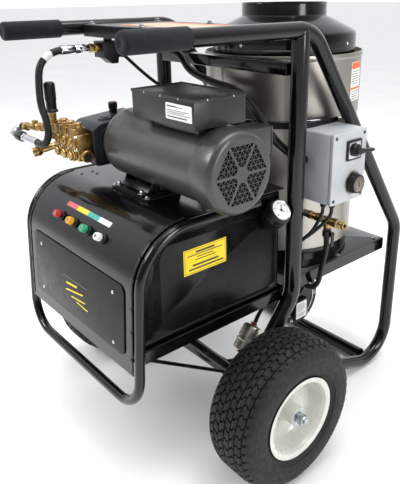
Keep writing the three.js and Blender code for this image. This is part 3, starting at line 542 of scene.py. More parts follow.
def add_camera():
    yaw, pitch, roll = math.radians(49.4455), math.radians(20.2118), math.radians(-0.7893)
    back = Vector((math.sin(yaw) * math.cos(pitch), -math.cos(yaw) * math.cos(pitch),
                   math.sin(pitch)))
    level = Vector((math.cos(yaw), math.sin(yaw), 0))
    upright = level.cross(-back)
    right = level * math.cos(roll) + upright * math.sin(roll)
    up = upright * math.cos(roll) - level * math.sin(roll)
    lens = bpy.data.cameras.new("camera")
    lens.sensor_width = 36
    lens.lens = 42.93
    lens.shift_x = -0.0387
    lens.shift_y = -0.0753
    lens.clip_start = 0.05
    camera = bpy.data.objects.new("camera", lens)
    camera.matrix_world = Matrix((
        (right.x, up.x, back.x, 0), (right.y, up.y, back.y, 0), (right.z, up.z, back.z, 0),
        (0, 0, 0, 1)))
    camera.location = at((1260.865, -931.480, 1227.253))
    bpy.context.scene.collection.objects.link(camera)
    bpy.context.scene.camera = camera


def add_softbox(name, place, target, size, power):
    lamp = bpy.data.lights.new(name, "AREA")
    lamp.shape = "RECTANGLE"
    lamp.size, lamp.size_y = size
    lamp.energy = power
    made = bpy.data.objects.new(name, lamp)
    made.location = Vector(place)
    made.rotation_euler = (Vector(target) - Vector(place)).to_track_quat("-Z", "Y").to_euler()
    bpy.context.scene.collection.objects.link(made)


def add_studio():
    world = bpy.data.worlds.new("studio")
    world.use_nodes = True
    tree = world.node_tree
    sky = tree.nodes["Background"]
    sky.inputs["Color"].default_value = (0.97, 0.98, 1.0, 1.0)
    direction = tree.nodes.new("ShaderNodeTexCoord")
    along = tree.nodes.new("ShaderNodeVectorMath")
    along.operation = "DOT_PRODUCT"
    along.inputs[1].default_value = (-0.72, 0.62, 0.9)
    rise = tree.nodes.new("ShaderNodeMapRange")
    for key, value in (("From Min", -0.35), ("From Max", 0.85), ("To Min", 0.25), ("To Max", 1.2)):
        rise.inputs[key].default_value = value
    tree.links.new(direction.outputs["Generated"], along.inputs[0])
    tree.links.new(along.outputs["Value"], rise.inputs["Value"])
    tree.links.new(rise.outputs["Result"], sky.inputs["Strength"])
    bpy.context.scene.world = world
    add_softbox("key_light", (-1.6, -3.2, 3.4), (0, 0, 0.5), (2.2, 1.6), 120)
    add_softbox("side_light", (3.6, 0.4, 1.9), (0, 0, 0.6), (1.0, 2.4), 70)
    add_softbox("top_light", (0.3, 0.2, 4.4), (0, 0, 0.5), (2.6, 2.6), 110)
    bpy.context.scene.view_settings.view_transform = "Standard"
    floor = bmesh.new()
    bmesh.ops.create_grid(floor, x_segments=24, y_segments=24, size=60)
    mesh = bpy.data.meshes.new("studio_floor")
    floor.to_mesh(mesh)
    floor.free()
    ground = bpy.data.objects.new("studio_floor", mesh)
    mesh.materials.append(surface("studio_floor", "#f4f4f3", "#efefee", (0.6, 0.8), patch=2,
                                  grain=(300, 0.05, 0.0001)))
    bpy.context.scene.collection.objects.link(ground)


# --- Cart frame ---

SIDE_X, TUBE_R, RAIL_R, POST_R, HANDLE_Z = 288, 21, 20.25, 23, 1141
AXLE_Z = 203
SIDES = ((1, "near"), (-1, "far"))


def side_tube_path(side):
    x = side * SIDE_X
    return bent([(x, -330, HANDLE_Z), (x, 213, HANDLE_Z), (x, 670, 501), (x, 670, -24.6),
                 (x, 45, 196.8)],
                [100, 90, 110], 14)


def weld_ring(centre, across, radius, bead=2.4):
    """A weld bead where a post of that radius meets the round tube above it."""
    x, y, z = centre
    path = []
    for k in range(49):
        angle = 2 * math.pi * k / 48
        dx, dy = radius * math.cos(angle), radius * math.sin(angle)
        path.append((x + dx, y + dy, z - math.sqrt(max(across ** 2 - dx ** 2, 0)) - 0.6))
    rng = random.Random(5)
    beads = [sweep([a, b], circle(bead * rng.uniform(0.75, 1.1), 8))
             for a, b in zip(path, path[1:])]
    return merge(*beads)


def add_side_frames():
    for side, label in SIDES:
        piece(f"side_rail_{label}", tube(side_tube_path(side), RAIL_R, 40), GLOSS_BLACK,
              stands_for=f"side_tube_{label}")
        x = side * SIDE_X
        path = bent([(x, 171, HANDLE_Z), (x, 171, 422), (x, 14.5, 222.5)], [90], 14)

        def saddle(v, x=x):
            return Vector((v.x, v.y, HANDLE_Z - math.sqrt(max(TUBE_R ** 2 - (v.x - x) ** 2,
                                                              0)) - 0.1))
        post = sweep(path, circle(POST_R, 44), start_cut=saddle)
        piece(f"post_{label}", post, GLOSS_BLACK, stands_for=f"upright_{label}")
        piece(f"post_weld_{label}", weld_ring((x, 171, HANDLE_Z), TUBE_R, POST_R - 1.5),
              GLOSS_BLACK)


def add_grips():
    front, length, r = -339, 163, 24
    for side, label in SIDES:
        outline = [(3.5, 0), (3.2, 5), (1.2, 9), (0, 14), (0.6, 18.5), (2.4, 21.6), (5.2, 23.4),
                   (9, r),
                   (length - 3, r), (length - 0.8, r - 1), (length, r - 2.6), (length, 21.4),
                   (8, 21.4), (8, 0)]
        grip = lathe(outline, (side * SIDE_X, front, HANDLE_Z), (0, 1, 0), 56,
                     radius_at=lambda a, q, t: q * (
                         1 + 0.006 * math.sin(3 * t + a * 0.05) * math.sin(a * 0.021)))
        piece(f"foam_grip_{label}", grip, FOAM, stands_for=f"grip_{label}")


def add_lower_frame():
    axle = lathe([(-311, 0), (-311, 21), (311, 21), (311, 0)], (0, 0, AXLE_Z), (1, 0, 0), 40, 1.2)
    spindle = lathe([(-478, 0), (-478, 12.5), (478, 12.5), (478, 0)], (0, 0, AXLE_Z), (1, 0, 0), 32)
    piece("axle_tube", merge(axle, spindle), GLOSS_BLACK, stands_for="lower_frame")
    braces = []
    for side in (-1, 1):
        braces.append(tube([(side * 257, -176, 407), (side * 257, -4, AXLE_Z + 8)], 12.5, 28))
        braces.append(tube([(side * 236, -322, 407), (side * 236, -4, AXLE_Z + 5)], 5, 20))
        braces.append(lathe([(-2, 12.3), (0, 15), (2.4, 12.3)], (side * 257, -10, AXLE_Z + 14),
                            (0, -172, 196), 28))
    piece("axle_braces", merge(*braces), GLOSS_BLACK)
    low, high, wide, front, rear = 405, 440, 270.5, -329, 146
    rails = merge(
        block((-wide, -wide + 4), (front, rear), (low, high)),
        block((wide - 4, wide), (front, rear), (low, high)),
        block((-wide, wide), (front, front + 4), (low, high)),
        block((-wide, wide), (rear - 4, rear), (low, high)),
        block((-wide, -241), (front, rear), (high - 4, high)),
        block((241, wide), (front, rear), (high - 4, high)),
        block((-wide, wide), (front, front + 29), (high - 4, high)),
        block((-wide, wide), (rear - 29, rear), (high - 4, high)))
    piece("tank_rails", rails, GLOSS_BLACK, bevel=1.2)
    for side, label in SIDES:
        hub = (side * 478, 0, AXLE_Z)
        washer = lathe([(0, 12.6), (0, 25), (3, 25), (3.4, 12.6)], (side * 474.5, 0, AXLE_Z),
                       (side, 0, 0), 48, 0.8)
        stack = merge(washer, lathe([(0, 0), (0, 14.5), (4, 14.5), (5, 0)], hub, (side, 0, 0), 40,
                                    0.6),
                      lathe([(4, 0), (4, 15.2), (17.5, 15.2), (20, 12.6), (20, 0)], hub,
                            (side, 0, 0), 6),
                      lathe([(19.6, 0), (19.6, 8.6), (23.4, 8.6), (25, 7.2), (25, 0)], hub,
                            (side, 0, 0), 28, 0.5))
        piece(f"axle_nut_{label}", stack, ZINC, bevel=0.5)


def add_hoop():
    x, top, low_y, top_z = 283.9, -321, -351, 730
    corners = [(x, 35, top_z), (x, top, top_z), (x, low_y, 290), (-x, low_y, 290), (-x, top, top_z),
               (-x, 35, top_z)]
    piece("hoop_tube", tube(bent(corners, [140, 90, 90, 140], 14), 12.4, 32), GLOSS_BLACK,
          stands_for="front_hoop")


def add_platform():
    x, y, top, low = 266, (200, 646), 449, 411
    pan = merge(plate(rectangle((-x, x), y, 5), [circle_at((0, 417), 80, 48)], "z", (top - 4, top)),
                block((-x, -x + 4), y, (low, top - 1)), block((x - 4, x), y, (low, top - 1)),
                block((-x, x), (y[0], y[0] + 4), (low, top - 1)),
                block((-x, x), (y[1] - 4, y[1]), (low, top - 1)))
    piece("platform_pan", pan, GLOSS_BLACK, stands_for="rear_platform", bevel=1.4)
    collar = lathe([(-2, 216), (38, 216), (39, 217), (39, 225), (38, 226), (-2, 226)],
                   (0, 417, top), (0, 0, 1), 128)
    piece("heater_collar", collar, GLOSS_BLACK)
    bolts = [hex_bolt((side * (x - 16), yy, top), (0, 0, 1), 9, 5) for side in (-1, 1)
             for yy in (232, 420, 618)]
    piece("platform_bolts", merge(*bolts), ZINC)


def circle_at(centre, radius, sides):
    return [(centre[0] + u, centre[1] + v) for u, v in circle(radius, sides)]


def add_cross_members():
    beam = block((-264.5, 264.5), (148, 176), (1031, 1063))
    piece("cross_beam", beam, GLOSS_BLACK, stands_for="upper_cross_beam", bevel=2.4, segments=3)
    foot = tube([(1 - SIDE_X + 21, 565, 26), (0, 565, 26), (SIDE_X - 22, 565, 26)], 21, 36)
    piece("foot_tube", foot, GLOSS_BLACK, stands_for="rear_foot_tube")
    half = SIDE_X - TUBE_R - 1
    section = rounded([(-115, 1118), (-115, 1150), (140, 1150), (140, 1118), (137, 1118),
                       (137, 1147),
                       (-112, 1147), (-112, 1118)], 2.4, 3)
    piece("handle_tray", prism(section, "x", (-half, half)), SATIN_BLACK, stands_for="top_tray")
    screws = [hex_bolt((x, y, 1150), (0, 0, 1), 11, 6, 2) for x in (-246, 0, 246)
              for y in (-98, 124)]
    piece("tray_screws", merge(*screws), ZINC)
    piece("tray_label", block((-150, 170), (-70, 92), (1150, 1150.5)), CREAM_LABEL)
    bands = merge(block((-142, 162), (66, 84), (1150.5, 1150.8)),
                  block((-142, -20), (-60, -46), (1150.5, 1150.8)))
    piece("tray_label_bands", bands, ORANGE, slot="frame_paint")


# --- Wheels ---

WHEEL_X, TYRE_R = 413, 203


def crown(w):
    """Outer radius of the tread at that distance from the tyre's middle."""
    return TYRE_R - 19 * (max(0, abs(w) - 28) / 47) ** 2.1


def tread_blocks(side):
    """Rows of interlocking blocks with wavy ends, proud of the carcass."""
    rows, depth, pitch = 48, 6.5, 2 * math.pi / 48
    columns = [(-74, -57), (-54.5, -37.5), (-35.5, -19.5), (-17.5, -1.2), (1.2, 17.5), (19.5, 35.5),
               (37.5, 54.5), (57, 74)]
    verts, faces = [], []
    for c, (w0, w1) in enumerate(columns):
        outer = c in (0, len(columns) - 1)
        for row in range(rows):
            middle = (row + 0.5 * (c % 2)) * pitch
            half = pitch * (0.40 if not outer else 0.36)
            ring = []
            for end in (-1, 1):
                for k in range(7):
                    t = k / 6 if end < 0 else 1 - k / 6
                    w = w0 + (w1 - w0) * t
                    wave = 0.16 * math.sin(2 * math.pi * t + (c % 2) * math.pi) + 0.12 * (t - 0.5)
                    ring.append((w, middle + end * half + wave * pitch))
            mid_w = (w0 + w1) / 2
            base = len(verts)
            for shrink, lift in ((1.0, -depth), (1.0, -1.0), (0.9, 0.0)):
                for w, a in ring:
                    w_now = mid_w + (w - mid_w) * shrink
                    angle = middle + (a - middle) * shrink
                    r = crown(w_now) + lift
                    verts.append((side * WHEEL_X + w_now, r * math.sin(angle),
                                  AXLE_Z + r * math.cos(angle)))
            n = len(ring)
            r = crown(mid_w)
            verts.append((side * WHEEL_X + mid_w, r * math.sin(middle),
                          AXLE_Z + r * math.cos(middle)))
            for level in (0, n):
                faces += [[base + level + k, base + level + (k + 1) % n,
                           base + level + n + (k + 1) % n,
                           base + level + n + k] for k in range(n)]
            faces += [[base + 2 * n + k, base + 2 * n + (k + 1) % n, base + 3 * n]
                      for k in range(n)]
            faces.append([base + k for k in range(n)][::-1])
    return verts, faces


def add_wheels():
    groove = 5.6
    for side, label in SIDES:
        outer = [(68, 116), (72, 121), (76, 130), (77.2, 131.5), (78.4, 131.2), (79.6, 140),
                 (80, 150), (79.4, 162),
                 (78.6, 166), (79, 168.4), (78, 170), (76.4, 177), (74.6, 182), (70, 187.5),
                 (66, 190.4)]
        tread = [(w, crown(w) - groove) for w in (60, 50, 40, 28, 14, 0)]
        half = outer + tread
        profile = half + [(-a, r) for a, r in half[-2::-1]] + [(-66, 105), (66, 105)]
        carcass = lathe(profile, (side * WHEEL_X, 0, AXLE_Z), (side, 0, 0), 120)
        piece(f"tyre_carcass_{label}", carcass, TYRE, body=f"wheel_{label}",
              stands_for=f"tyre_{label}", sharp=40)
        piece(f"tyre_blocks_{label}", tread_blocks(side), TYRE, body=f"wheel_{label}", sharp=40)
        dish = [(-62, 13.2), (-62, 26), (-2, 26), (2, 40), (4, 82), (-30, 90), (-70, 98),
                (-72.6, 104), (-72.4, 114),
                (-70, 114), (-66.4, 102), (66.4, 102), (70.4, 107), (71, 113.4), (73, 114),
                (73.4, 108), (71, 99.5),
                (60, 95.5), (30, 90), (20, 86), (13.5, 79), (10.6, 70), (9.6, 52), (12.5, 46),
                (12, 40), (7, 33),
                (8, 26), (64, 26), (64, 13.2)]
        rim = lathe(dish, (side * WHEEL_X, 0, AXLE_Z), (side, 0, 0), 96, 1.5)
        piece(f"rim_dish_{label}", rim, RIM, body=f"wheel_{label}", stands_for=f"rim_{label}")
        stem = (side * (WHEEL_X + 26), 84 * math.sin(-0.9), AXLE_Z + 84 * math.cos(-0.9))
        valve = lathe([(0, 0), (0, 6), (6, 5.6), (9, 4), (16, 3.6), (17, 4.2), (25, 4.2), (26, 3),
                       (26, 0)],
                      stem, (side, -0.25 * math.sin(-0.9), -0.25 * math.cos(-0.9)), 20, 0.5)
        piece(f"valve_stem_{label}", valve, RUBBER, body=f"wheel_{label}", slot="tyre_rubber")


# --- Tank, cover and nozzle rack ---

DECK_Z, COVER_X, BEND_R = 740, 270.5, 150
LEAN = math.atan2(-331 + 354, DECK_Z - 388)
BEND_Y = -331 + BEND_R * math.tan((math.pi / 2 - LEAN) / 2)
BEND_Z = DECK_Z - BEND_R


def cover_line(inset, rear_y, foot_z, steps=28):
    """The cover's outline in (Y, Z), pulled in by inset, from its rear top edge to its foot."""
    radius = BEND_R - inset
    points = [(rear_y, DECK_Z - inset)]
    for k in range(steps + 1):
        angle = math.pi / 2 + (math.pi / 2 - LEAN) * k / steps
        points.append((BEND_Y + radius * math.cos(angle), BEND_Z + radius * math.sin(angle)))
    y, z = points[-1]
    return points + [(y - (z - foot_z) * math.tan(LEAN), foot_z)]


def on_cover(x, angle_deg, lift=0.0):
    """A point on the cover's bend, with the angle measured up from level."""
    a = math.radians(angle_deg)
    return Vector((x, BEND_Y - (BEND_R + lift) * math.cos(a),
                   BEND_Z + (BEND_R + lift) * math.sin(a)))


def on_front(x, z, lift=0.0):
    y = -354 + (z - 388) * math.tan(LEAN)
    return Vector((x, y - lift * math.cos(LEAN), z + lift * math.sin(LEAN)))


FRONT_OUT = Vector((0, -math.cos(LEAN), math.sin(LEAN)))
NOZZLE_X = [4 + (k - 1.5) * 71 for k in range(4)]


def add_cover():
    outer, inner = cover_line(0, 146, 388), cover_line(2, 146, 388)
    piece("cover_sheet", prism(outer + inner[::-1], "x", (-COVER_X, COVER_X)), GLOSS_BLACK,
          stands_for="tank_cover")
    eyelets = [lathe([(-1, 0), (-1, 4.2), (0.5, 5), (1.0, 4.6), (0.6, 3.4), (-0.4, 3.2), (-0.4, 0)],
                     (x, y, DECK_Z), (0, 0, 1), 20) for x, y in ((-215, -189), (-215, -154),
                             (-187, -155), (-120, -60))]
    piece("cover_eyelets", merge(*eyelets), BLACK_PLASTIC)
    for side, label in SIDES:
        line = cover_line(-0.6, 60, 396)[1:]
        strip = sweep([(side * (COVER_X - 4), y, z) for y, z in line],
                      [(-4.2, -1.2), (4.2, -1.2), (4.2, 1.0), (-4.2, 1.0)])
        piece(f"cover_edge_trim_{label}", strip, BLACK_PLASTIC, bevel=0.5)
        clips = []
        for t in (0.03, 0.2, 0.42, 0.62, 0.8):
            y, z = line[int(t * (len(line) - 1))]
            clips.append(block((side * COVER_X - 9, side * COVER_X + 1), (y - 5, y + 5),
                               (z - 2.5, z + 2.2)))
        clips += [block((side * COVER_X - 9, side * COVER_X + 1),
                        (on_front(0, z)[1] - 3, on_front(0, z)[1] + 3), (z - 4, z + 4))
                  for z in (430, 500, 560)]
        piece(f"cover_clips_{label}", merge(*clips), BLACK_PLASTIC, bevel=0.8)


def add_front_plate():
    tilt = Matrix.Translation(on_front(0, 425, 0.4)) @ Matrix.Rotation(-LEAN, 4, "X")
    outline = rectangle((-238, 238), (0, 182), 20, 10)
    panel = moved(prism(outline, "y", (0, -3)), tilt)
    piece("service_panel", panel, PANEL, stands_for="front_plate", bevel=1.0)
    screws = [pan_screw(on_front(x, z, 3.4), FRONT_OUT, 4.6, 2.6) for x in (-190, 190)
              for z in (575, 443)]
    piece("panel_screws", merge(*screws), CHROME)
    bars = {"yellow": [(-20, 515, 58, 6, 0.10), (-6, 499, 92, 5, 0.16), (14, 484, 74, 4, 0.10),
                       (34, 473, 60, 3, -0.06)],
            "grey": [(-4, 530, 128, 2.4, 0.02), (0, 461, 34, 2.4, 0.02)]}
    for tone, finish in (("yellow", YELLOW_LABEL), ("grey", MOTOR_GREY)):
        made = []
        for x, z, length, height, slope in bars[tone]:
            quad = [(x - length / 2, z - 425 - height / 2 - slope * length / 2),
                    (x + length / 2, z - 425 - height / 2 + slope * length / 2),
                    (x + length / 2 + 5, z - 425 + height / 2 + slope * length / 2),
                    (x - length / 2 + 5, z - 425 + height / 2 - slope * length / 2)]
            made.append(moved(prism(quad, "y", (-3.0, -3.35)), tilt))
        piece(f"panel_stripes_{tone}", merge(*made), finish, slot="panel_plastic")


def add_fuel_tank():
    outline = cover_line(8.4, 140, 441, 14) + [(140, 441)]
    body = prism(rounded(outline, 9, 3), "x", (-262, 262))
    tank = piece("tank_body", body, POLY, stands_for="fuel_tank", bevel=7, segments=4, sharp=50)
    near = prism(rectangle((-258, 128), (456, 684), 40, 10), "x", (258.8, 272))
    far = prism(rectangle((-258, 128), (456, 684), 40, 10), "x", (-272, -258.8))
    pocket = lathe([(-46, 0), (-46, 46), (70, 46), (70, 0)], FILLER, FILLER_OUT, 64)
    for index, cutter in enumerate((near, far, pocket)):
        tool = piece(f"cutter_{index}", cutter, POLY, slot="")
        step = tank.modifiers.new("cut", "BOOLEAN")
        step.operation, step.solver, step.object = "DIFFERENCE", "EXACT", tool
        bpy.context.view_layer.update()
        graph = bpy.context.evaluated_depsgraph_get()
        result = bpy.data.meshes.new_from_object(tank.evaluated_get(graph))
        tank.modifiers.clear()
        tank.data = result
        bpy.data.objects.remove(tool)
    neck = lathe([(-57, 24), (-57, 29), (-4, 29), (-4, 24)], FILLER, FILLER_OUT, 48, 1)
    piece("filler_neck", neck, POLY)
    rim = [sweep([(side * 259.0, y, z) for y, z in rectangle((-256, 126), (458, 682), 38,
                                                             10) + [(-218, 458)]],
                 circle(1.3, 8)) for side in (-1, 1)]
    piece("tank_panel_bead", merge(*rim), POLY)
    sticker = block((258.8, 259.5), (-187, -52), (586, 653))
    piece("fuel_label", sticker, YELLOW_LABEL)
    frame_line = plate(rectangle((-184, -55), (589, 650)), [rectangle((-183, -56), (590, 649))],
                       "x", (259.5, 259.7))
    rows = [((-150, -90), 644, 5), ((-176, -66), 636, 2.4), ((-146, -96), 629, 2.4),
            ((-152, -88), 622, 2.4),
            ((-160, -78), 610, 5), ((-172, -62), 600, 4.4)]
    bars = [block((259.5, 259.7), span, (z - high, z)) for span, z, high in rows]
    piece("fuel_label_border", merge(frame_line, *bars), INK, slot="tank_plastic")


FILLER = Vector((288, 107, 686.5))
FILLER_TILT = math.radians(39)
FILLER_OUT = Vector((math.cos(FILLER_TILT), 0, math.sin(FILLER_TILT)))


def add_fuel_cap():
    def ribs(along, radius, angle):
        return radius - (1.5 if -32 < along < -9.5 and math.cos(30 * angle) < -0.25 and radius > 36
                         else 0)
    collar = [(-33, 30.4), (-33, 37.2), (-31.6, 38), (-27, 38), (-22, 38), (-16, 38), (-10.4, 38),
              (-9, 37),
              (-7.6, 36.5), (3, 36.5), (5, 36), (11, 33), (13, 30), (13, 28.3), (-1, 28.3)]
    piece("cap_collar", lathe(collar, FILLER, FILLER_OUT, 180, radius_at=ribs), BLACK_PLASTIC,
          body="filler_cap", stands_for="fuel_cap")
    bezel = lathe([(9, 26.8), (9, 28.5), (13.4, 28.5), (14, 27.9), (13.4, 26.8)], FILLER,
                  FILLER_OUT, 72)
    piece("gauge_bezel", bezel, CHROME, body="filler_cap")
    face = lathe([(-1, 0), (-1, 27.2), (12.2, 27.2), (12.4, 0)], FILLER, FILLER_OUT, 64)
    piece("gauge_face", face, DIAL, body="filler_cap")
    axis, side, across = basis(FILLER_OUT)
    marks = []
    for k in range(13):
        angle = math.radians(-120 + 20 * k)
        ray = side * math.sin(angle) + across * math.cos(angle)
        inner, wide = (17, 0.9) if k % 3 == 0 else (19.5, 0.45)
        marks.append(sweep([FILLER + ray * inner + axis * 12.9, FILLER + ray * 22.8 + axis * 12.9],
                           [(-wide, -0.3), (wide, -0.3), (wide, 0.3), (-wide, 0.3)], up=axis))
    for angle, reach in ((0.5, 17), (2.3, 10)):
        ray = side * math.sin(angle) + across * math.cos(angle)
        marks.append(sweep([FILLER - ray * 5 + axis * 13.4, FILLER + ray * reach + axis * 13.4],
                           [(-1.0, -0.4), (1.0, -0.4), (0.7, 0.4), (-0.7, 0.4)], up=axis))
    marks.append(lathe([(12, 0), (12, 3.4), (14.6, 3), (15, 0)], FILLER, FILLER_OUT, 20))
    piece("gauge_marks", merge(*marks), INK, body="filler_cap")


def add_nozzles():
    out = Vector((0, -math.cos(math.radians(35)), math.sin(math.radians(35))))
    for index, colour in enumerate(("red", "yellow", "green", "white")):
        seat = on_cover(NOZZLE_X[index], 35)
        body = f"nozzle_{'abcd'[index]}"

        def knobs(along, radius, angle):
            ridged = radius > 7.5 and 10.5 < along < 24
            return radius * (1 + 0.055 * math.cos(8 * angle)) if ridged else radius
        collar = [(9.6, 5.5), (9.6, 8.6), (11, 9.4), (12.6, 9.9), (16, 9.9), (17, 9.0), (18.2, 9.0),
                  (19.2, 9.8),
                  (22.6, 9.7), (24.2, 9.0), (26, 8.2), (26, 6.2), (24.4, 5.5)]
        piece(f"nozzle_collar_{colour}", lathe(collar, seat, out, 64, radius_at=knobs),
              COLOURS[colour],
              body=body, slot=f"nozzle_{colour}", stands_for=f"nozzle_{colour}")
        stem = lathe([(-5, 0), (-5, 5), (-3, 5.5), (9, 5.4), (24.6, 5.3), (25.2, 4.7), (25.2, 2.3),
                      (20, 1.9),
                      (20, 0)], seat, out, 32)
        piece(f"nozzle_stem_{colour}", stem, ZINC, body=body)
        grommet = lathe([(-1.6, 6), (-1.6, 9.0), (0.4, 9.4), (0.4, 12.6), (2.4, 13.2), (5, 12.4),
                         (7.2, 9.8), (7.4, 6.2)],
                        seat, out, 40)
        piece(f"nozzle_grommet_{colour}", grommet, RUBBER, slot="black_plastic")
    spans = [(-112, -57.5), (-57.5, -2.5), (-2.5, 52.5), (52.5, 108)]
    for (x0, x1), colour in zip(spans, STRIP):
        verts, faces = [], []
        for lift in (0.15, 0.55):
            verts += [on_cover(x, a, lift) for a in (46.6, 47.9, 49.2, 50.5, 51.8)
                      for x in (x0, x1)]
        for k in range(4):
            a = 2 * k
            faces += [[a, a + 1, a + 3, a + 2], [a + 10, a + 12, a + 13, a + 11],
                      [a, a + 2, a + 12, a + 10], [a + 1, a + 11, a + 13, a + 3]]
        faces += [[0, 10, 11, 1], [8, 9, 19, 18]]
        piece(f"rack_label_{colour}", (verts, faces), STRIP[colour], slot=f"nozzle_{colour}")


# --- Motor ---

MOTOR_Y, MOTOR_Z, MOTOR_R = -108, 854, 90


def on_motor(profile, sides=96, ease=0, radius_at=None):
    return lathe(profile, (0, MOTOR_Y, MOTOR_Z), (1, 0, 0), sides, ease, radius_at)


def around_motor(x, angle_deg, radius):
    a = math.radians(angle_deg)
    return Vector((x, MOTOR_Y + radius * math.sin(a), MOTOR_Z + radius * math.cos(a)))


def fan_grille():
    """Rows of small triangles in six fields, with plain spokes between them."""
    holes, spoke, height, shrink = [], 5.5, 12.3, 0.82
    edge = height * 2 / math.sqrt(3)
    for field in range(6):
        turn = math.radians(60 * field)
        for row in (1, 2, 3, 4):
            low, high = spoke + row * height, spoke + (row + 1) * height
            for k in range(2 * row + 1):
                middle = (k - row) * edge / 2
                wide, narrow = (high, low) if k % 2 == 0 else (low, high)
                corners = [(middle - edge / 2, wide), (middle + edge / 2, wide), (middle, narrow)]
                cu, cv = middle, (2 * wide + narrow) / 3
                small = [(cu + (u - cu) * shrink, cv + (v - cv) * shrink) for u, v in corners]
                holes.append([(MOTOR_Y + u * math.cos(turn) - v * math.sin(turn),
                               MOTOR_Z + u * math.sin(turn) + v * math.cos(turn))
                              for u, v in small])
    return plate(circle_at((MOTOR_Y, MOTOR_Z), 80, 96), holes, "x", (376.6, 379.6))


def add_motor():
    shell = on_motor([(-44, 82), (-44, 89), (-43, MOTOR_R), (-40, MOTOR_R), (309.5, MOTOR_R),
                      (309.5, 15), (301, 15), (301, 82)])
    piece("motor_barrel", shell, MOTOR_GREY, stands_for="motor_shell")
    feet = []
    for side in (-1, 1):
        y = MOTOR_Y + side * 63
        feet.append(block((-38, 92), (y - 14, y + 14), (DECK_Z + 6, DECK_Z + 11)))
        sheet = [(side * 60, 749.5), (side * 55, 749.5), (side * 39, 761), (side * 42, 765)]
        feet.append(prism([(MOTOR_Y + v, w) for v, w in sheet], "x", (-34, 88)))
    saddle = [(MOTOR_Y - 50, 750), (MOTOR_Y + 50, 750)] + [
        (MOTOR_Y + 89.6 * math.sin(a), MOTOR_Z - 89.6 * math.cos(a))
        for a in (0.48, 0.3, 0.1, -0.1, -0.3, -0.48)]
    feet += [prism(saddle, "x", x) for x in ((-36, -32), (86, 90))]
    feet.append(block((-33, 97), (MOTOR_Y - 25, MOTOR_Y + 25), (DECK_Z + 5, 766.5)))
    piece("motor_feet", merge(*feet), SATIN_BLACK, slot="motor_paint", bevel=1.2)
    bell = on_motor([(-75, 15), (-75, 66), (-74, 72), (-71, 79), (-66, 85), (-59, 89),
                     (-54, MOTOR_R), (-46, MOTOR_R),
                     (-44.6, 89), (-44.6, 84), (-60, 82), (-69, 66), (-69, 15)])
    piece("motor_bell", bell, MOTOR_GREY, stands_for="motor_end_bell")
    base = plate(rectangle((-52, 120), (-187, -29), 3, 3),
                 [rectangle((-20, 70), (-135, -125), 4.9, 5),
                  rectangle((-20, 70), (-91, -81), 4.9, 5)],
                 "z", (DECK_Z + 0.4, DECK_Z + 5.5))
    piece("motor_plate", base, SATIN_BLACK, stands_for="motor_base", bevel=0.6)
    # A bright zinc strip along the motor foot: a painted highlight for the light caught along the
    # bend of the cradle.
    foot_highlight = block((-34, 98), (-135, -133), (DECK_Z + 5.4, DECK_Z + 8))
    piece("motor_foot_highlight_strip", foot_highlight, ZINC, bevel=0.6)
    bolts = [hex_bolt((x, MOTOR_Y + side * 69, DECK_Z + 11), (0, 0, 1), 11, 6.5) for x in (-27, 80)
             for side in (-1, 1)]
    bolts += [hex_bolt((x, y, DECK_Z + 5.5), (0, 0, 1), 9, 5) for x in (-45, 108)
              for y in (-180, -37)]
    piece("motor_bolts", merge(*bolts), ZINC)


def add_fan_cover():
    cup = on_motor([(379.6, 78), (379.5, 82), (378.4, 86.5), (376, 90.5), (372.4, 93.8), (368, 96),
                    (362, 97), (312, 97),
                    (310, 96.2), (310, 94), (360, 93.6), (370, 90), (375, 84), (376.4, 78)], 112)
    grille = fan_grille()
    piece("fan_shroud", merge(cup, grille), MOTOR_GREY, stands_for="fan_cover", sharp=28)
    # A dark disc inside the fan cover: painted shade seen through the grille's holes.
    shade_disc = on_motor([(366, 0), (366, 84), (367, 84), (367, 0)], 48)
    piece("fan_cover_shade_disc", shade_disc, GRILLE_SHADE)
    bolts = [pan_screw(around_motor(322, a, 96.6), around_motor(0, a, 1) - around_motor(0, a, 0),
                       3.6, 2.2) for a in (45, 135, 225, 315)]
    bolts += [hex_bolt(around_motor(-74, a, 62), (-1, 0, 0), 7, 4, 1) for a in (45, 135, 225, 315)]
    piece("motor_screws", merge(*bolts), SATIN_BLACK, slot="motor_paint")
    seam = on_motor([(308.4, 89), (308.4, 91.6), (310.6, 91.6), (310.6, 89)], 96)
    piece("fan_seam", seam, SATIN_BLACK, slot="motor_paint")


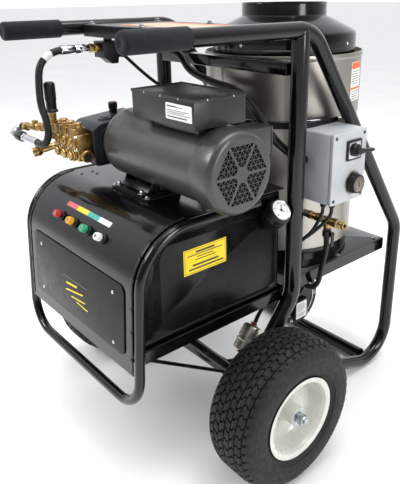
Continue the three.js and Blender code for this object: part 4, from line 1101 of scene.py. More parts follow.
def add_boxes():
    x, y = (78, 315), (-187, -38)
    walls = block(x, y, (952, 1012))
    pedestal = prism([(-150, 925), (-66, 925), (-66, 953), (-150, 953)], "x", (112, 282))
    piece("capacitor_body", merge(walls, pedestal), CASE_GREY, stands_for="capacitor_box",
          bevel=1.2)
    lid = [block((76.5, 316.5), (-188.5, -36.5), (1011, 1015.6)),
           block((76.5, 316.5), (-188.5, -186.6), (1015, 1018)),
           block((76.5, 316.5), (-38.4, -36.5), (1015, 1018)),
           block((76.5, 78.4), (-188.5, -36.5), (1015, 1018)),
           block((314.6, 316.5), (-188.5, -36.5), (1015, 1018))]
    piece("capacitor_lid", merge(*lid), CASE_GREY, bevel=0.5)
    tabs = [block((xx, xx + 5), (yy, yy + 5), (1014, 1018.5)) for xx in (76.6, 311.4)
            for yy in (-188.4, -41.6)]
    piece("lid_corners", merge(*tabs), SATIN_BLACK, slot="motor_paint", bevel=1)
    screws = [pan_screw((xx, -188.3, 1014.6), (0, -1, 0), 2.6, 1.2) for xx in (132, 196, 262)]
    screws += [pan_screw((316.3, yy, 1014.6), (1, 0, 0), 2.6, 1.2) for yy in (-150, -75)]
    piece("lid_screws", merge(*screws), ZINC, slot="motor_paint")
    label = prism(rectangle((214, 308), (967, 1003), 3, 4), "y", (-187.5, -186.8))
    piece("motor_label", label, WHITE_LABEL, slot="motor_paint")
    rows = [block((220, x1), (-187.7, -187.4), (z, z + high)) for x1, z, high in
            ((252, 995, 2.6), (276, 995, 1.2), (296, 987, 1.2), (284, 983, 1.2), (301, 979, 1.2),
             (290, 972, 2.4))]
    piece("motor_label_rules", merge(*rows), INK, slot="motor_paint")
    body = block((235, 305), (-17, 58), (855, 925))
    neck = block((248, 292), (-40, -10), (868, 906))
    piece("conduit_body", merge(body, neck), MOTOR_GREY, stands_for="conduit_box", bevel=3,
          segments=3)
    piece("conduit_lid", block((234, 306), (58, 62), (854, 926)), MOTOR_GREY, bevel=1.4)
    screws = [pan_screw((xx, 62, z), (0, 1, 0), 3, 1.8) for xx in (243, 297) for z in (863, 917)]
    piece("conduit_screws", merge(*screws), ZINC)


# --- Pump and high-pressure line ---

PLUNGER_X = (-190, -152, -114)
UNLOADER = (-243, -246)


def add_crankcase():
    side = [(-215, 802), (-215, 893), (-192, 907), (-100, 915), (-48, 918), (-26, 905), (-26, 812),
            (-44, 795), (-205, 795)]
    case = prism(rounded(side, 7, 3), "x", (-196, -79))
    piece("crankcase_body", case, CAST_BLACK_SKY_TINT, stands_for="pump_crankcase", bevel=2.5, segments=3)
    cover = rounded([(-196, 812), (-196, 886), (-176, 897), (-60, 906), (-42, 893), (-42, 822),
                     (-56, 808)], 8)
    ribs = [prism(cover, "x", (x, x + 3.8)) for x in (-199.6, -79.4)]
    piece("crankcase_covers", merge(*ribs), CAST_BLACK_SKY_TINT, bevel=1.2)
    tilt = Vector((0, -0.07, 1))
    boss = [lathe([(0, 0), (0, 19), (3.4, 19), (4.4, 17.6), (4.4, 13), (3, 12.4), (3, 0)],
                  (-124, -150, 909.4), tilt, 48),
            lathe([(0, 0), (0, 8), (5.6, 8), (6.2, 7), (6.2, 0)], (-124, -150, 909.4), tilt, 6)]
    piece("crankcase_boss", merge(*boss), CAST_BLACK_SKY_TINT, bevel=0.4)
    bolts = [hex_bolt((-199.4, y, z), (-1, 0, 0), 5, 0.1, 0.2) for y, z in
             ((-186, 822), (-186, 876), (-52, 830), (-52, 888), (-120, 896), (-110, 816))]
    bolts += [pan_screw((-124 + 15 * math.cos(a), -150 + 15 * math.sin(a), 913.4), tilt, 1.8, 1)
              for a in (0.4, 2.5, 4.6)]
    piece("crankcase_bolts", merge(*bolts), ZINC)
    cap = lathe([(0, 0), (0, 11), (13, 11), (14.4, 12.4), (28, 12.4), (29, 12), (30, 11.4),
                 (31.6, 9), (31.6, 0)],
                (-150, MOTOR_Y, 916.4), (0, 0, 1), 96,
                radius_at=lambda a, r, t: r - (0.9 if 14 < a < 28.5 and math.cos(24 * t) < -0.2
                                               else 0))
    piece("oil_filler_cap", cap, BLACK_PLASTIC, body="oil_filler", stands_for="oil_cap")
    disc = lathe([(30.8, 0), (30.8, 10.4), (31.6, 10.4), (32, 9.8), (32, 0)],
                 (-150, MOTOR_Y, 916.4), (0, 0, 1), 40)
    piece("oil_cap_disc", disc, TAN_PLASTIC, body="oil_filler")


def add_manifold():
    body = [block((-211, -92), (-254, -215.6), (814, 884)),
            block((-205, -98), (-259, -240), (821, 850))]
    for x in PLUNGER_X:
        body.append(block((x - 15.5, x + 15.5), (-262, -224), (850, 901)))
        body.append(lathe([(0, 0), (0, 16), (5, 16), (7, 14), (7, 0)], (x, -257, 829), (0, -1, 0),
                          8))
        body.append(lathe([(0, 0), (0, 13.5), (5, 13.5), (7, 11.6), (7, 0)], (x, -260, 864),
                          (0, -1, 0), 40))
    piece("pump_head", merge(*body), BRASS, stands_for="pump_manifold", bevel=2.6, segments=3)
    caps = []
    for x in PLUNGER_X:
        caps.append(lathe([(0, 0), (0, 14.6), (4, 14.6), (5, 12.4), (11.4, 12.4), (13.6, 10.4),
                           (13.6, 0)], (x, -240, 900.6), (0, 0, 1), 8))
        caps.append(lathe([(0, 0), (0, 13), (4.6, 13), (6.8, 11), (6.8, 0)], (x, -264, 829),
                          (0, -1, 0), 6))
        caps.append(lathe([(0, 0), (0, 6), (3, 5.4), (3, 0)], (x, -266.6, 864), (0, -1, 0), 6))
    caps.append(lathe([(0, 0), (0, 13), (3.4, 13), (3.4, 0)], (-214, -238, 829), (1, 0, 0), 6, 0.4))
    piece("pump_caps", merge(*caps), BRASS, bevel=0.7)
    port = [lathe([(0, 10.4), (0, 14), (16, 14), (16, 16.4), (20, 16.4), (22, 15), (22, 10.4)],
                  (-94, -238, 829), (1, 0, 0), 40),
            tube([(-258, -238, 829), (-208, -238, 829)], 10, 28),
            tube(smooth_path([(-246, -236, 829), (-256, -242, 827), (-266, -254, 822),
                              (-283, -280, 813)], 6), 9.5, 28),
            lathe([(-4, 0), (-4, 12), (0, 14), (3, 14.5), (9, 14.5), (10, 13.4), (19, 13.4),
                   (21, 12.4), (21, 9), (8, 8), (8, 0)],
                  (-281, -277, 814), (-7, -20, -5), 48)]
    piece("pump_ports", merge(*port), BRASS)
    # A black disc inside the outlet port's bore: painted shade for the deep hole.
    bore_shade = [lathe([(0, 0), (0, 10.4), (4, 10.4), (4, 0)], (-80, -238, 829), (1, 0, 0), 32)]
    piece("port_bore_shade", merge(*bore_shade), INK)
    studs = [hex_bolt((x, y, z), (0, -1, 0), 6.6, 5, 1) for x in (-171, -133, -97)
             for y, z in ((-257, 845.5), (-255, 879))]
    piece("pump_studs", merge(*studs), CHROME)


def add_unloader():
    x, y = UNLOADER
    way = (-186, -16, -24)
    column = lathe([(0, 0), (0, 8.6), (7, 9), (8, 11), (9, 13), (39, 13), (40, 15), (44, 15),
                    (46, 13.6), (48, 15), (52, 15),
                    (53, 11), (72, 11), (72, 0)], (x, y, 850), (0, 0, 1), 48)
    link = tube([(-212.6, -242, 872), (x, y, 872)], 9, 28)
    arm = lathe([(0, 0), (0, 10), (18, 10), (20, 12.2), (30, 12.2), (32, 10), (58, 10), (62, 13),
                 (66, 13), (70, 11.6), (80, 11.6),
                 (83, 13), (85, 8.5), (110, 8.5), (112, 9.6), (124, 9.6), (126, 8.5), (148, 8.5),
                 (150, 12), (168, 12),
                 (170, 8.5), (178, 8.5), (178, 0)], (x, y, 882), way, 44)
    stub = lathe([(0, 0), (0, 7), (10, 7), (11, 9), (18, 9), (19, 6), (19, 0)],
                 Vector((x, y, 882)) + Vector(way).normalized() * 108, (0, 0.1, 1), 32)
    piece("unloader_body", merge(column, link, arm, stub), BRASS, stands_for="unloader_valve")
    nuts = [lathe([(along, 0), (along, 13.4), (along + 8, 13.4), (along + 8, 0)], (x, y, 882), way,
                  6, 0.5) for along in (38, 94, 152)]
    piece("unloader_nuts", merge(*nuts), BRASS, bevel=0.6)

    def flutes(along, radius, angle):
        return radius - (0.9 if 32 < along < 74 and math.cos(14 * angle) < -0.1 else 0)
    knob = lathe([(0, 0), (0, 16.6), (1, 17.5), (5, 17.5), (6.4, 15.5), (8, 14), (28, 14.4),
                  (33, 15.2), (36, 15.5), (70, 15.5),
                  (74, 15.5), (78, 14.4), (81, 11.5), (82, 8), (82, 0)], (x, y, 925.6), (0, 0, 1),
                 84, radius_at=flutes)
    piece("pressure_knob", knob, BLACK_PLASTIC, body="pressure_adjuster",
          stands_for="unloader_knob")


def add_coupling():
    y, z = -290, 842
    sleeve = lathe([(0, 0), (0, 13), (2, 14.6), (4, 15.5), (28, 15.5), (31, 15), (34, 13), (34, 0)],
                   (-392, y, z), (1, 0, 0), 96,
                   radius_at=lambda a, r, t: r - (1.2 if 5 < a < 27 and math.cos(16 * t) < 0
                                                  else 0))
    piece("coupling_collar", sleeve, BLACK_PLASTIC, slot="zinc")
    elbow = smooth_path([(-422, -262, 859), (-430, -263, 858), (-435, -270, 853), (-436, -280, 847),
                         (-432, -288, 843), (-422, y, z),
                         (-411, y, z)], 6)
    parts = [tube(elbow, 11.0, 32), tube([(-414, y, z), (-391, y, z)], 9.5, 32),
             lathe([(0, 0), (0, 12.4), (18, 12.4), (18, 0)], (-359, y, z), (1, 0, 0), 6, 0.5)]
    parts.append(lathe([(0, 0), (0, 9.6), (6, 11), (9, 10), (15, 11), (18, 10), (24, 11), (27, 10),
                        (33, 11), (36, 10), (42, 11),
                        (45, 10), (51, 11), (54, 10), (60, 11), (70, 11), (79, 10.8), (79, 0)],
                       (-341, y, z), (1, 0, 0), 40))
    piece("coupling_fittings", merge(*parts), CHROME, stands_for="pump_coupling")
    nuts = merge(lathe([(0, 0), (0, 12.4), (9, 12.4), (9, 0)], (-404, y, z), (1, 0, 0), 6, 0.5),
                 lathe([(0, 0), (0, 12), (6, 12), (6, 0)], (-428, -262.6, 858.6), (1, 0.05, 0.1), 6,
                       0.5))
    piece("coupling_nuts", nuts, BRASS, bevel=0.5)


def add_high_pressure_hose():
    route = [(-262, -290, 842), (-235, -290, 842), (-213, -286, 851), (-205, -281, 874),
             (-213, -279, 910), (-233, -279, 948),
             (-243, -274, 1005), (-247, -264, 1048), (-249, -240, 1074), (-250, -212, 1084),
             (-250, -198, 1086)]
    path = smooth_path(route, 10)
    piece("pressure_hose", tube(path, 9.9, 32), RUBBER, stands_for="high_pressure_hose")
    low = sweep(path[:14], [(u * 1.04, v * 1.04) for u, v in circle(9.9, 32)])
    piece("hose_bend_guard", low, BLACK_PLASTIC)
    tag = sweep(path[76:85], [(u * 1.05, v * 1.05) for u, v in circle(9.9, 32)])
    piece("hose_tag", tag, WHITE_LABEL, slot="hose_rubber")
    ferrule = [(0, 8), (0, 12.2), (1.4, 13), (40, 13), (41.5, 12.2), (44, 12.2), (45.5, 13),
               (58, 13), (60, 11.6),
               (60, 10), (64, 10), (66, 10.6), (86, 10.6), (88, 9.6)]
    end = (-250, -200, 1086)
    steel = merge(lathe(ferrule + [(88, 0), (0, 0)], end, (0, 1, 0), 40),
                  lathe([(64, 0), (64, 12.4), (75, 12.4), (75, 0)], end, (0, 1, 0), 6, 0.4))
    piece("hose_ferrule", steel, CHROME)
    brass = lathe([(86, 0), (86, 12.4), (100, 12.4), (101, 10.4), (104, 10.4), (105, 12.4),
                   (119.4, 12.4), (119.4, 0)], end, (0, 1, 0), 6)
    piece("hose_brass_end", brass, BRASS, bevel=0.5)


def add_flow_switch():
    body = block((-278, -222), (-80, -20), (1058, 1103))
    skirt = prism([(-74, 1060), (-26, 1060), (-30, 1040), (-50, 1040)], "x", (-268, -232))
    lid = block((-279.2 + 1.4, -220.8 - 1.4), (-79.4, -20.6), (1099, 1102.9))
    stem = lathe([(0, 0), (0, 12), (30, 12), (32, 10.6), (42, 10.6), (46.4, 8), (46.4, 0)],
                 (-250, -50, 1100), (0, 0, 1), 36, 0.6)
    piece("flow_switch_body", merge(body, skirt, lid, stem), BLACK_PLASTIC,
          stands_for="flow_switch", bevel=2.4, segments=3)
    screws = [pan_screw((x, y, 1102.6), (0, 0, 1), 2.8, 1.6) for x in (-271, -229)
              for y in (-73, -27)]
    piece("flow_switch_screws", merge(*screws), ZINC)


# --- Heater and burner ---

HEATER_Y = 417
TEE_Y, TEE_Z = 285, 621
LABEL_ANGLE = 9
BLOWER_Y, BLOWER_Z = 325, 300


def on_heater(profile, z, sides=144, ease=0, radius_at=None):
    return lathe(profile, (0, HEATER_Y, z), (0, 0, 1), sides, ease, radius_at)


def around_heater(angle_deg, radius, z):
    """Angle 0 points along the axle towards the filler, and 90 away from the handles."""
    a = math.radians(angle_deg)
    return Vector((radius * math.cos(a), HEATER_Y + radius * math.sin(a), z))


def add_heater():
    def waves(along, radius, angle):
        return radius + (0.3 * math.sin(4 * angle + along * 0.012) - 0.5 if radius > 232
                         and 2 < along < 550 else 0)
    shell = on_heater([(0, 205), (0, 232), (1, 233), (180, 233), (300, 233), (554, 233), (554, 229),
                       (3, 229), (3, 205)], 488.4,
                      radius_at=waves)
    piece("heater_jacket", shell, JACKET, stands_for="heater_shell")
    rivets = [pan_screw(around_heater(a, 232.6, z), around_heater(a, 1, z) - around_heater(a, 0, z),
                        3.2, 1.4)
              for a in (-94, 86) for z in (520, 600, 680, 760, 840)]
    piece("jacket_rivets", merge(*rivets), ZINC)
    wrap = on_heater([(0, 233.4), (0, 236.6), (0.6, 237), (161, 237), (162, 238.4), (164, 239.4),
                      (170, 239.5), (175, 239.3),
                      (177, 238), (177, 236), (163.4, 235.6), (163, 206), (159, 206), (159, 233.4)],
                     887,
                     radius_at=lambda a, r, t: r - (0.3 + 0.3 * math.sin(5 * t + 1) if 5 < a < 160
                                                    and r > 236.5 else 0))
    piece("heater_collar_wrap", wrap, STAINLESS, stands_for="heater_wrap")
    seam = []
    for angle in (-94, 86):
        a = math.radians(angle)
        out, side = Vector((math.cos(a), math.sin(a), 0)), Vector((-math.sin(a), math.cos(a), 0))
        centre = Vector((0, HEATER_Y, 0)) + out * 236.4
        seam.append(moved(block((-0.2, 0.9), (-7, 7), (889, 1046)), Matrix((
            (out.x, side.x, 0, centre.x), (out.y, side.y, 0, centre.y), (0, 0, 1, 0),
            (0, 0, 0, 1)))))
    piece("wrap_seams", merge(*seam), STAINLESS, bevel=0.3)
    lower_edge = on_heater([(0, 233.2), (0, 236.2), (3, 237.2), (6, 236.2), (6, 233.2)], 884.6)
    piece("wrap_lower_edge", lower_edge, CHROME, slot="stainless")
    # A black ring of painted shade under the wrap's lower edge, where the jacket lies in the wrap's
    # shadow.
    band = on_heater([(0, 232), (0, 234), (19, 234), (19, 232)], 864)
    piece("heater_painted_shade_band", band, SATIN_BLACK)
    cowl = on_heater([(0, 214.5), (0, 217), (22, 217), (23, 218), (26, 218), (27, 217), (62, 217),
                      (65, 216.4), (68, 214.4), (71, 211.6),
                      (92, 170.4), (109.6, 133), (112, 129), (115, 127.2), (119, 127), (145, 127),
                      (147.4, 128.4), (149, 127.6), (149, 124.6),
                      (113, 124.5), (68.5, 209.6), (65, 214.5)], 1050.4)
    piece("flue_hood", cowl, GLOSS_BLACK, stands_for="flue_cowl", sharp=24)
    screws = [pan_screw(around_heater(a, 216.8, 1087),
                        around_heater(a, 1, 0) - around_heater(a, 0, 0), 4.6, 2.6)
              for a in (10, 100, 190, 280)]
    piece("hood_screws", merge(*screws), CHROME)
    piece("heater_label", arc_plate(237.1, 237.6, (LABEL_ANGLE, LABEL_ANGLE + 17), (925, 1036), 10),
          WHITE_LABEL,
          slot="jacket_steel")
    strips = [arc_plate(237.6, 237.9, (LABEL_ANGLE + 0.5, LABEL_ANGLE + 16.5), z, 10)
              for z in ((1017, 1035), (958, 964))]
    piece("heater_label_bands", merge(*strips), ORANGE)
    rules = [arc_plate(237.6, 237.85, (LABEL_ANGLE + 1.4, LABEL_ANGLE + 15.6 - 1.8 * (k % 3)),
                       (z, z + 1.6), 10)
             for k, z in enumerate((1009, 1002, 995, 988, 981, 974, 951, 944, 937, 930))]
    piece("heater_label_rules", merge(*rules), INK, slot="jacket_steel")


def arc_plate(inner, outer, angles, heights, n=6):
    """A thin patch that follows the heater's round side."""
    verts, faces = [], []
    for radius in (inner, outer):
        for k in range(n + 1):
            a = angles[0] + (angles[1] - angles[0]) * k / n
            verts += [around_heater(a, radius, heights[0]), around_heater(a, radius, heights[1])]
    f = 2 * (n + 1)
    for k in range(n):
        a, b = 2 * k, f + 2 * k
        faces += [[a, a + 1, a + 3, a + 2], [b, b + 2, b + 3, b + 1], [a, a + 2, b + 2, b],
                  [a + 1, b + 1, b + 3, a + 3]]
    return verts, faces + [[0, f, f + 1, 1], [2 * n, 2 * n + 1, 2 * n + f + 1, 2 * n + f]]


def add_burner():
    volute = lathe([(60, 0), (60, 80), (61, 83.6), (64, 85), (181, 85), (184, 83.6), (185, 80),
                    (185, 0)],
                   (0, BLOWER_Y, BLOWER_Z), (1, 0, 0), 96)
    piece("burner_volute", volute, SATIN_BLACK, stands_for="burner_housing")
    duct = block((-90, 120), (330, 504), (330, 444.4))
    piece("burner_duct", duct, SATIN_BLACK, bevel=4, segments=3)
    motor = lathe([(-50, 0), (-50, 30), (-48, 44), (-43, 50), (-36, 52), (54, 52), (54, 58),
                   (60, 58), (60, 0)],
                  (0, BLOWER_Y, BLOWER_Z), (1, 0, 0), 72)
    piece("burner_motor", motor, SATIN_BLACK)
    ring = [lathe([(182.4, 60), (182.4, 66), (186.6, 65), (186.6, 61)], (0, BLOWER_Y, BLOWER_Z),
                  (1, 0, 0), 72)]
    ring += [hex_bolt((184.6, BLOWER_Y + 74 * math.sin(a), BLOWER_Z + 74 * math.cos(a)), (1, 0, 0),
                      7, 4, 1)
             for a in (0.5, 1.55, 2.6, 3.65, 4.7, 5.75)]
    piece("burner_bolts", merge(*ring), ZINC)
    cover = block((184.6, 199), (291, 348), (237, 307))
    piece("burner_control", cover, BLACK_PLASTIC, bevel=3.5, segments=3)
    piece("burner_plate", block((199, 199.7), (296, 343), (243, 301)), WHITE_LABEL,
          slot="black_plastic", bevel=0.2)
    lines = [block((199.7, 199.95), (300, y1), (z, z + 1.6)) for y1, z in
             ((330, 292), (338, 286), (334, 280), (338, 274), (326, 268), (336, 258), (330, 252))]
    piece("burner_plate_rules", merge(*lines), INK)


# --- Control box ---

FACE_X = 362
SWITCH, THERMOSTAT = (312, 832), (317, 739)


def add_control_box():
    y, z = (227, 369), (689, 884)
    back = prism(rounded([(229, 700), (229, 898), (372, 898), (372, 700)], 6), "x", (255.5, 261))
    piece("control_bracket", back, SATIN_BLACK)
    base = prism(rectangle(y, z, 6, 5), "x", (261, 351))
    piece("control_case", base, BOX_GREY, stands_for="control_box", bevel=1.6)
    groove = prism(rectangle((y[0] + 1.4, y[1] - 1.4), (z[0] + 1.4, z[1] - 1.4), 5, 5), "x",
                   (350, 353.4))
    piece("control_gasket", groove, INK, slot="box_grey")
    lid = prism(rectangle(y, z, 6, 5), "x", (352, FACE_X))
    piece("control_lid", lid, BOX_GREY, bevel=1.8, segments=3)
    wells = []
    for yy in (y[0] + 12, y[1] - 12):
        for zz in (z[0] + 12, z[1] - 12):
            wells.append(lathe([(-0.4, 0), (-0.4, 5), (0.5, 5), (0.9, 4.4), (0.6, 2.2), (0.1, 1.8),
                                (0.1, 0)], (FACE_X, yy, zz), (1, 0, 0), 24))
    piece("control_lid_screws", merge(*wells), INK, slot="box_grey")
    sy, sz = SWITCH
    base = prism(rectangle((sy - 31, sy + 31), (sz - 28, sz + 28), 5, 5), "x",
                 (FACE_X, FACE_X + 4.6))
    piece("switch_base", base, BLACK_PLASTIC, bevel=1.2)
    square = plate(rectangle((sy - 24, sy + 24), (sz - 22, sz + 22), 3, 4),
                   [circle_at((sy, sz), 15, 40)], "x", (FACE_X + 4.5, FACE_X + 5.6))
    piece("switch_plate", square, CHROME, bevel=0.2)
    marks = [block((FACE_X + 5.6, FACE_X + 5.9), (sy - 4, sy + 4), (sz + 17, sz + 19.4)),
             block((FACE_X + 5.6, FACE_X + 5.9), (sy + 17, sy + 19.4), (sz - 4, sz + 4))]
    piece("switch_marks", merge(*marks), INK)
    ty, tz = THERMOSTAT
    ring = lathe([(-0.4, 0), (-0.4, 33), (1.4, 33), (2.8, 31.6), (2.8, 0)], (FACE_X, ty, tz),
                 (1, 0, 0), 72)
    piece("thermostat_ring", ring, DIAL_METAL)
    glands = []
    for x, yy in ((345, 256), (325, 244)):
        glands.append(lathe([(0, 0), (0, 8.4), (1, 9), (5, 9), (5, 7.6), (6, 7.6), (7, 8.6),
                             (13, 7.2), (13.6, 5.4), (13.6, 0)], (x, yy, 689.6), (0, 0, -1), 6 * 8))
    piece("cable_glands", merge(*glands), BLACK_PLASTIC)


def add_switch_and_dial():
    (y, z), x = SWITCH, FACE_X + 6.4
    hub = lathe([(0, 0), (0, 16.4), (0.8, 17), (7, 17), (9, 16), (10, 14), (10, 0)], (x, y, z),
                (1, 0, 0), 64)
    handle = [(y - 12, z - 7), (y - 4, z - 9.4), (y + 20, z - 7), (y + 50, z - 9.6),
              (y + 60, z - 9), (y + 62, z - 6),
              (y + 60, z - 1.4), (y + 50, z - 1), (y + 20, z + 3), (y - 4, z + 8.4),
              (y - 12, z + 6)]
    lever = prism(rounded(handle, 3), "x", (x + 9, x + 19.6))
    piece("switch_handle", merge(hub, lever), BLACK_PLASTIC, body="main_switch",
          stands_for="switch_lever", bevel=1.4, segments=3)
    (y, z), x = THERMOSTAT, FACE_X + 3.4

    def flutes(along, radius, angle):
        return radius - (0.7 if 6.5 < along < 18.5 and math.cos(32 * angle) < -0.1 else 0)
    knob = lathe([(0, 0), (0, 27.4), (0.8, 28), (5.4, 28), (6.2, 27.2), (8, 26.8), (17.4, 25.9),
                  (19, 25), (19.4, 23.6), (18.4, 23), (18.4, 0)],
                 (x, y, z), (1, 0, 0), 128, radius_at=flutes)
    piece("dial_knob", knob, BLACK_PLASTIC, body="thermostat", stands_for="thermostat_knob")
    face = lathe([(17.6, 0), (17.6, 21.6), (19.0, 21.6), (19.3, 20.8), (19.3, 0)], (x, y, z),
                 (1, 0, 0), 64)
    piece("dial_plate", face, DIAL_METAL, body="thermostat")
    marks = []
    for k in range(11):
        a = math.radians(-130 + 26 * k)
        ray, inner = Vector((0, math.sin(a), math.cos(a))), 14 if k % 2 == 0 else 16
        centre = Vector((x + 19.35, y, z))
        marks.append(sweep([centre + ray * inner, centre + ray * 19.4],
                           [(-0.5, -0.3), (0.5, -0.3), (0.5, 0.3), (-0.5, 0.3)], up=(1, 0, 0)))
    marks.append(block((x + 19.2, x + 19.9), (y - 1.6, y + 1.6), (z - 7, z + 7)))
    piece("dial_marks", merge(*marks), INK, body="thermostat")


# --- Outlet, drain and fuel lines ---

def add_outlet():
    def along(profile, sides=40, ease=0.5):
        return lathe(profile, (0, TEE_Y, TEE_Z), (1, 0, 0), sides, ease)
    smooth = merge(along([(257, 0), (257, 10), (281, 10), (281, 0)]),
                   along([(285, 0), (285, 11.4), (298, 11.4), (299, 12), (337, 12), (337, 0)]),
                   along([(346, 0), (346, 10)] + [(349 + 2.4 * k + d, r) for k in range(7)
                                                  for d, r in ((0, 10), (1.2, 11))] + [(367, 10.6),
                                                          (370, 10), (370, 6), (350, 6), (350, 0)],
                         48, 0),
                   lathe([(0, 0), (0, 12), (14, 11), (20, 10.5), (20, 0)], (311, TEE_Y, TEE_Z),
                         (0, 0, -1), 40),
                   lathe([(-12, 0), (-12, 9), (0, 13), (12, 9), (12, 0)], (311, TEE_Y, TEE_Z),
                         (1, 0, 0), 40))
    hexes = merge(*[lathe([(a, 0), (a, r), (b, r), (b, 0)], (0, TEE_Y, TEE_Z), (1, 0, 0), 6)
                    for a, b, r in
                    ((246, 258, 14), (272, 286, 14), (334, 347, 14.5))])
    piece("outlet_fittings", smooth, BRASS, stands_for="outlet_tee")
    piece("outlet_nuts", hexes, BRASS, bevel=0.8)
    tape = merge(along([(296, 11), (296, 12), (301, 12), (301, 11)], 40, 0),
                 along([(347, 9.6), (347, 11), (349.4, 11), (349.4, 9.6)], 40, 0))
    piece("thread_tape", tape, WHITE_LABEL, slot="brass")
    valve = merge(lathe([(0, 0), (0, 11), (8.5, 11), (8.5, 0)], (311, TEE_Y, 600.5), (0, 0, -1), 6,
                        0.5),
                  lathe([(8, 0), (8, 11), (10, 13), (26, 13), (28.5, 11), (28.5, 0)],
                        (311, TEE_Y, 600.5), (0, 0, -1), 36),
                  lathe([(28, 0), (28, 9), (40.4, 9), (40.4, 0)], (311, TEE_Y, 600.5), (0, 0, -1),
                        6, 0.5),
                  lathe([(0, 0), (0, 6), (16, 6), (16, 0)], (311, TEE_Y, 583), (1, 0, 0), 28, 0.5))
    piece("drain_valve", valve, BLACK_PLASTIC, slot="brass", stands_for="shutoff_valve", bevel=0.0)
    lever = merge(lathe([(0, 0), (0, 8), (5, 8), (5.6, 7.2), (5.6, 0)], (327.4, TEE_Y, 583),
                        (1, 0, 0), 32),
                  prism(rounded([(TEE_Y - 6, 590), (TEE_Y + 6, 590), (TEE_Y + 6, 550),
                                 (TEE_Y + 3, 546), (TEE_Y - 3, 546), (TEE_Y - 6, 550)], 3), "x",
                        (329, 332.6)))
    piece("drain_handle_bar", lever, BLACK_PLASTIC, body="drain_handle", stands_for="shutoff_lever",
          bevel=0.6)


def clamp(point, direction, radius, width=7):
    """A hose clamp: a band with its screw housing."""
    band = lathe([(-width / 2, radius), (-width / 2, radius + 0.9), (width / 2, radius + 0.9),
                  (width / 2, radius)], point, direction, 32)
    axis, side, across = basis(direction)
    centre = Vector(point) + across * (radius + 2.6)
    house = sweep([centre - side * 4.5, centre + side * 4.5],
                  [(-width / 2, -2), (width / 2, -2), (width / 2, 2), (-width / 2, 2)], up=axis)
    return merge(band, house)


def add_fuel_filter():
    foot, out = Vector((215, 42, 252)), Vector((0, 51, 66)).normalized()
    body = lathe([(-8, 0), (-8, 6), (-6.6, 7), (-4.4, 6), (-2.4, 7), (-0.4, 6), (0, 8), (1, 24),
                  (4, 28.6), (7, 29), (29.4, 29), (30, 30.4),
                  (31, 31), (33.6, 31), (34.4, 29.8), (35.6, 29.8), (36.4, 31), (38, 31),
                  (39.4, 29.4), (40, 29), (73, 29), (77, 28), (79.6, 24),
                  (81.6, 8), (82, 6), (84, 7), (86, 6), (88, 7), (90, 6), (90, 0)], foot, out, 64)
    piece("filter_can", body, CAN_PLATE, stands_for="fuel_filter")
    clamps = merge(clamp(foot - out * 4, out, 7.4), clamp(foot + out * 86, out, 7.4))
    piece("filter_clamps", clamps, RED_CLAMP, bevel=0.4)


ROUTES = {
    "fuel_supply_hose": (6, RUBBER, [(200, -125, 440), (200, -125, 400), (200, -119, 345),
                                     (200, -86, 281), (202, -35, 247), (210, 3, 232),
                                     (214.7, 27, 232.5), (215, 36.8, 245.4)]),
    "fuel_feed_hose": (6, RUBBER, [(215, 97.4, 323.7), (214, 108, 338), (206, 146, 362),
                                   (184, 196, 364), (146, 224, 345), (122, 240.6, 331.4)]),
    "drain_hose": (8, RUBBER, [(311, 285, 559.2), (311, 285, 535), (303, 286, 495), (293, 288, 450),
                               (284, 290, 415), (262, 294, 388),
                               (225, 300, 380)]),
    "cable_conduit": (11, SHEATH, [(-250, -18, 1080), (-250, -2, 1080.5), (-240, 30, 1082),
                                   (-205, 88, 1078), (-149, 124, 1061),
                                   (-94, 126, 1018), (5, 126, 993), (100, 126, 981),
                                   (150, 126, 958), (200, 128, 912), (230, 154, 858),
                                   (257, 194, 816), (270, 210, 806), (273, 223.6, 803)]),
    "switch_cable": (5, SHEATH, [(-236, -17.4, 1063.6), (-235, -10, 1061), (-222, 3, 1045),
                                 (-200, 18, 1022), (-165, 52, 982), (-100, 84, 948),
                                 (50, 96, 920), (190, 98, 900), (250, 92, 893), (266, 76, 891),
                                 (268, 63.4, 890)]),
}
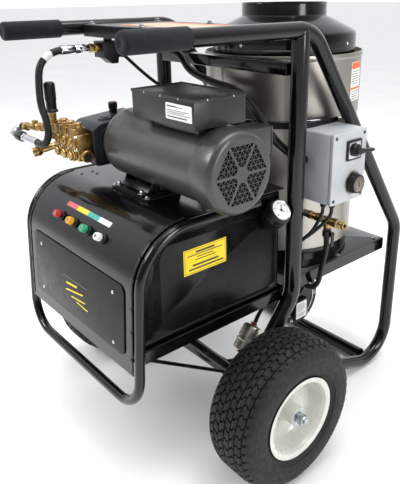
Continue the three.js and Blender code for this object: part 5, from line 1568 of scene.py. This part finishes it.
BURNER_LEADS = (
    [(345, 256, 675.6), (344, 255, 658), (334, 247, 636), (312, 228, 605), (286, 206, 575),
     (262, 196, 545), (250, 188, 500),
     (247, 186, 450), (244, 188, 410), (236, 205, 375), (222, 245, 350), (205, 300, 338),
     (189.4, 335, 338)],
    [(325, 244, 675.6), (324, 243, 660), (318, 236, 636), (306, 223, 603), (286, 206, 575)],
)


def declare_drain_hose(route):
    """Puts a disc on the drain hose's open end, which lies under the platform; the hose runs down
    from the drain valve.
    """
    path = smooth_path(route, 5)
    way = path[-1] - path[-2]
    bore = piece("drain_hose_bore", lathe([(-1, 0), (-1, 5.2), (0.4, 5.2), (0.4, 0)], path[-1], way,
                                          24), INK,
                 slot="hose_rubber")


def add_lines():
    for name, (radius, finish, route) in ROUTES.items():
        shape = tube(smooth_path(route, 9), radius * 0.99, 24)
        slot = "cable_sheath" if finish is SHEATH else "hose_rubber"
        line = piece(f"{name}_run", shape, finish, slot=slot, stands_for=name)
        if name == "drain_hose":
            declare_drain_hose(route)
    leads = merge(*[tube(smooth_path(route, 9), 4.9, 20) for route in BURNER_LEADS])
    piece("burner_leads", leads, SHEATH, stands_for="burner_cable")
    nuts = [lathe([(0, 11), (0, 14), (8, 14), (8, 11)], (-250, -18.4 + 0.2, 1080), (0, 1, 0.03), 8,
                  0.5),
            lathe([(0, 5), (0, 8), (7, 8), (7, 5)], (-236, -18.6, 1064), (0, 1, -0.3), 8, 0.4)]
    piece("switch_glands", merge(*nuts), BLACK_PLASTIC)


def finish_inner_parts():
    """The parts inside the housings keep their own solids and take a detailed finish."""
    for node, finish in (("motor_stator", COIL_STEEL), ("rotor_shaft", ZINC),
                         ("cooling_fan", BLACK_PLASTIC),
                         ("heating_coil", COIL_STEEL), ("blower_wheel", ZINC)):
        for holder in bpy.data.objects[node].material_slots:
            holder.material = finish


add_camera()
add_studio()
add_side_frames()
add_grips()
add_lower_frame()
add_hoop()
add_platform()
add_cross_members()
add_wheels()
add_cover()
add_front_plate()
add_fuel_tank()
add_fuel_cap()
add_nozzles()
add_motor()
add_fan_cover()
add_boxes()
add_crankcase()
add_manifold()
add_unloader()
add_coupling()
add_high_pressure_hose()
add_flow_switch()
add_heater()
add_burner()
add_control_box()
add_switch_and_dial()
add_outlet()
add_fuel_filter()
add_lines()
finish_inner_parts()
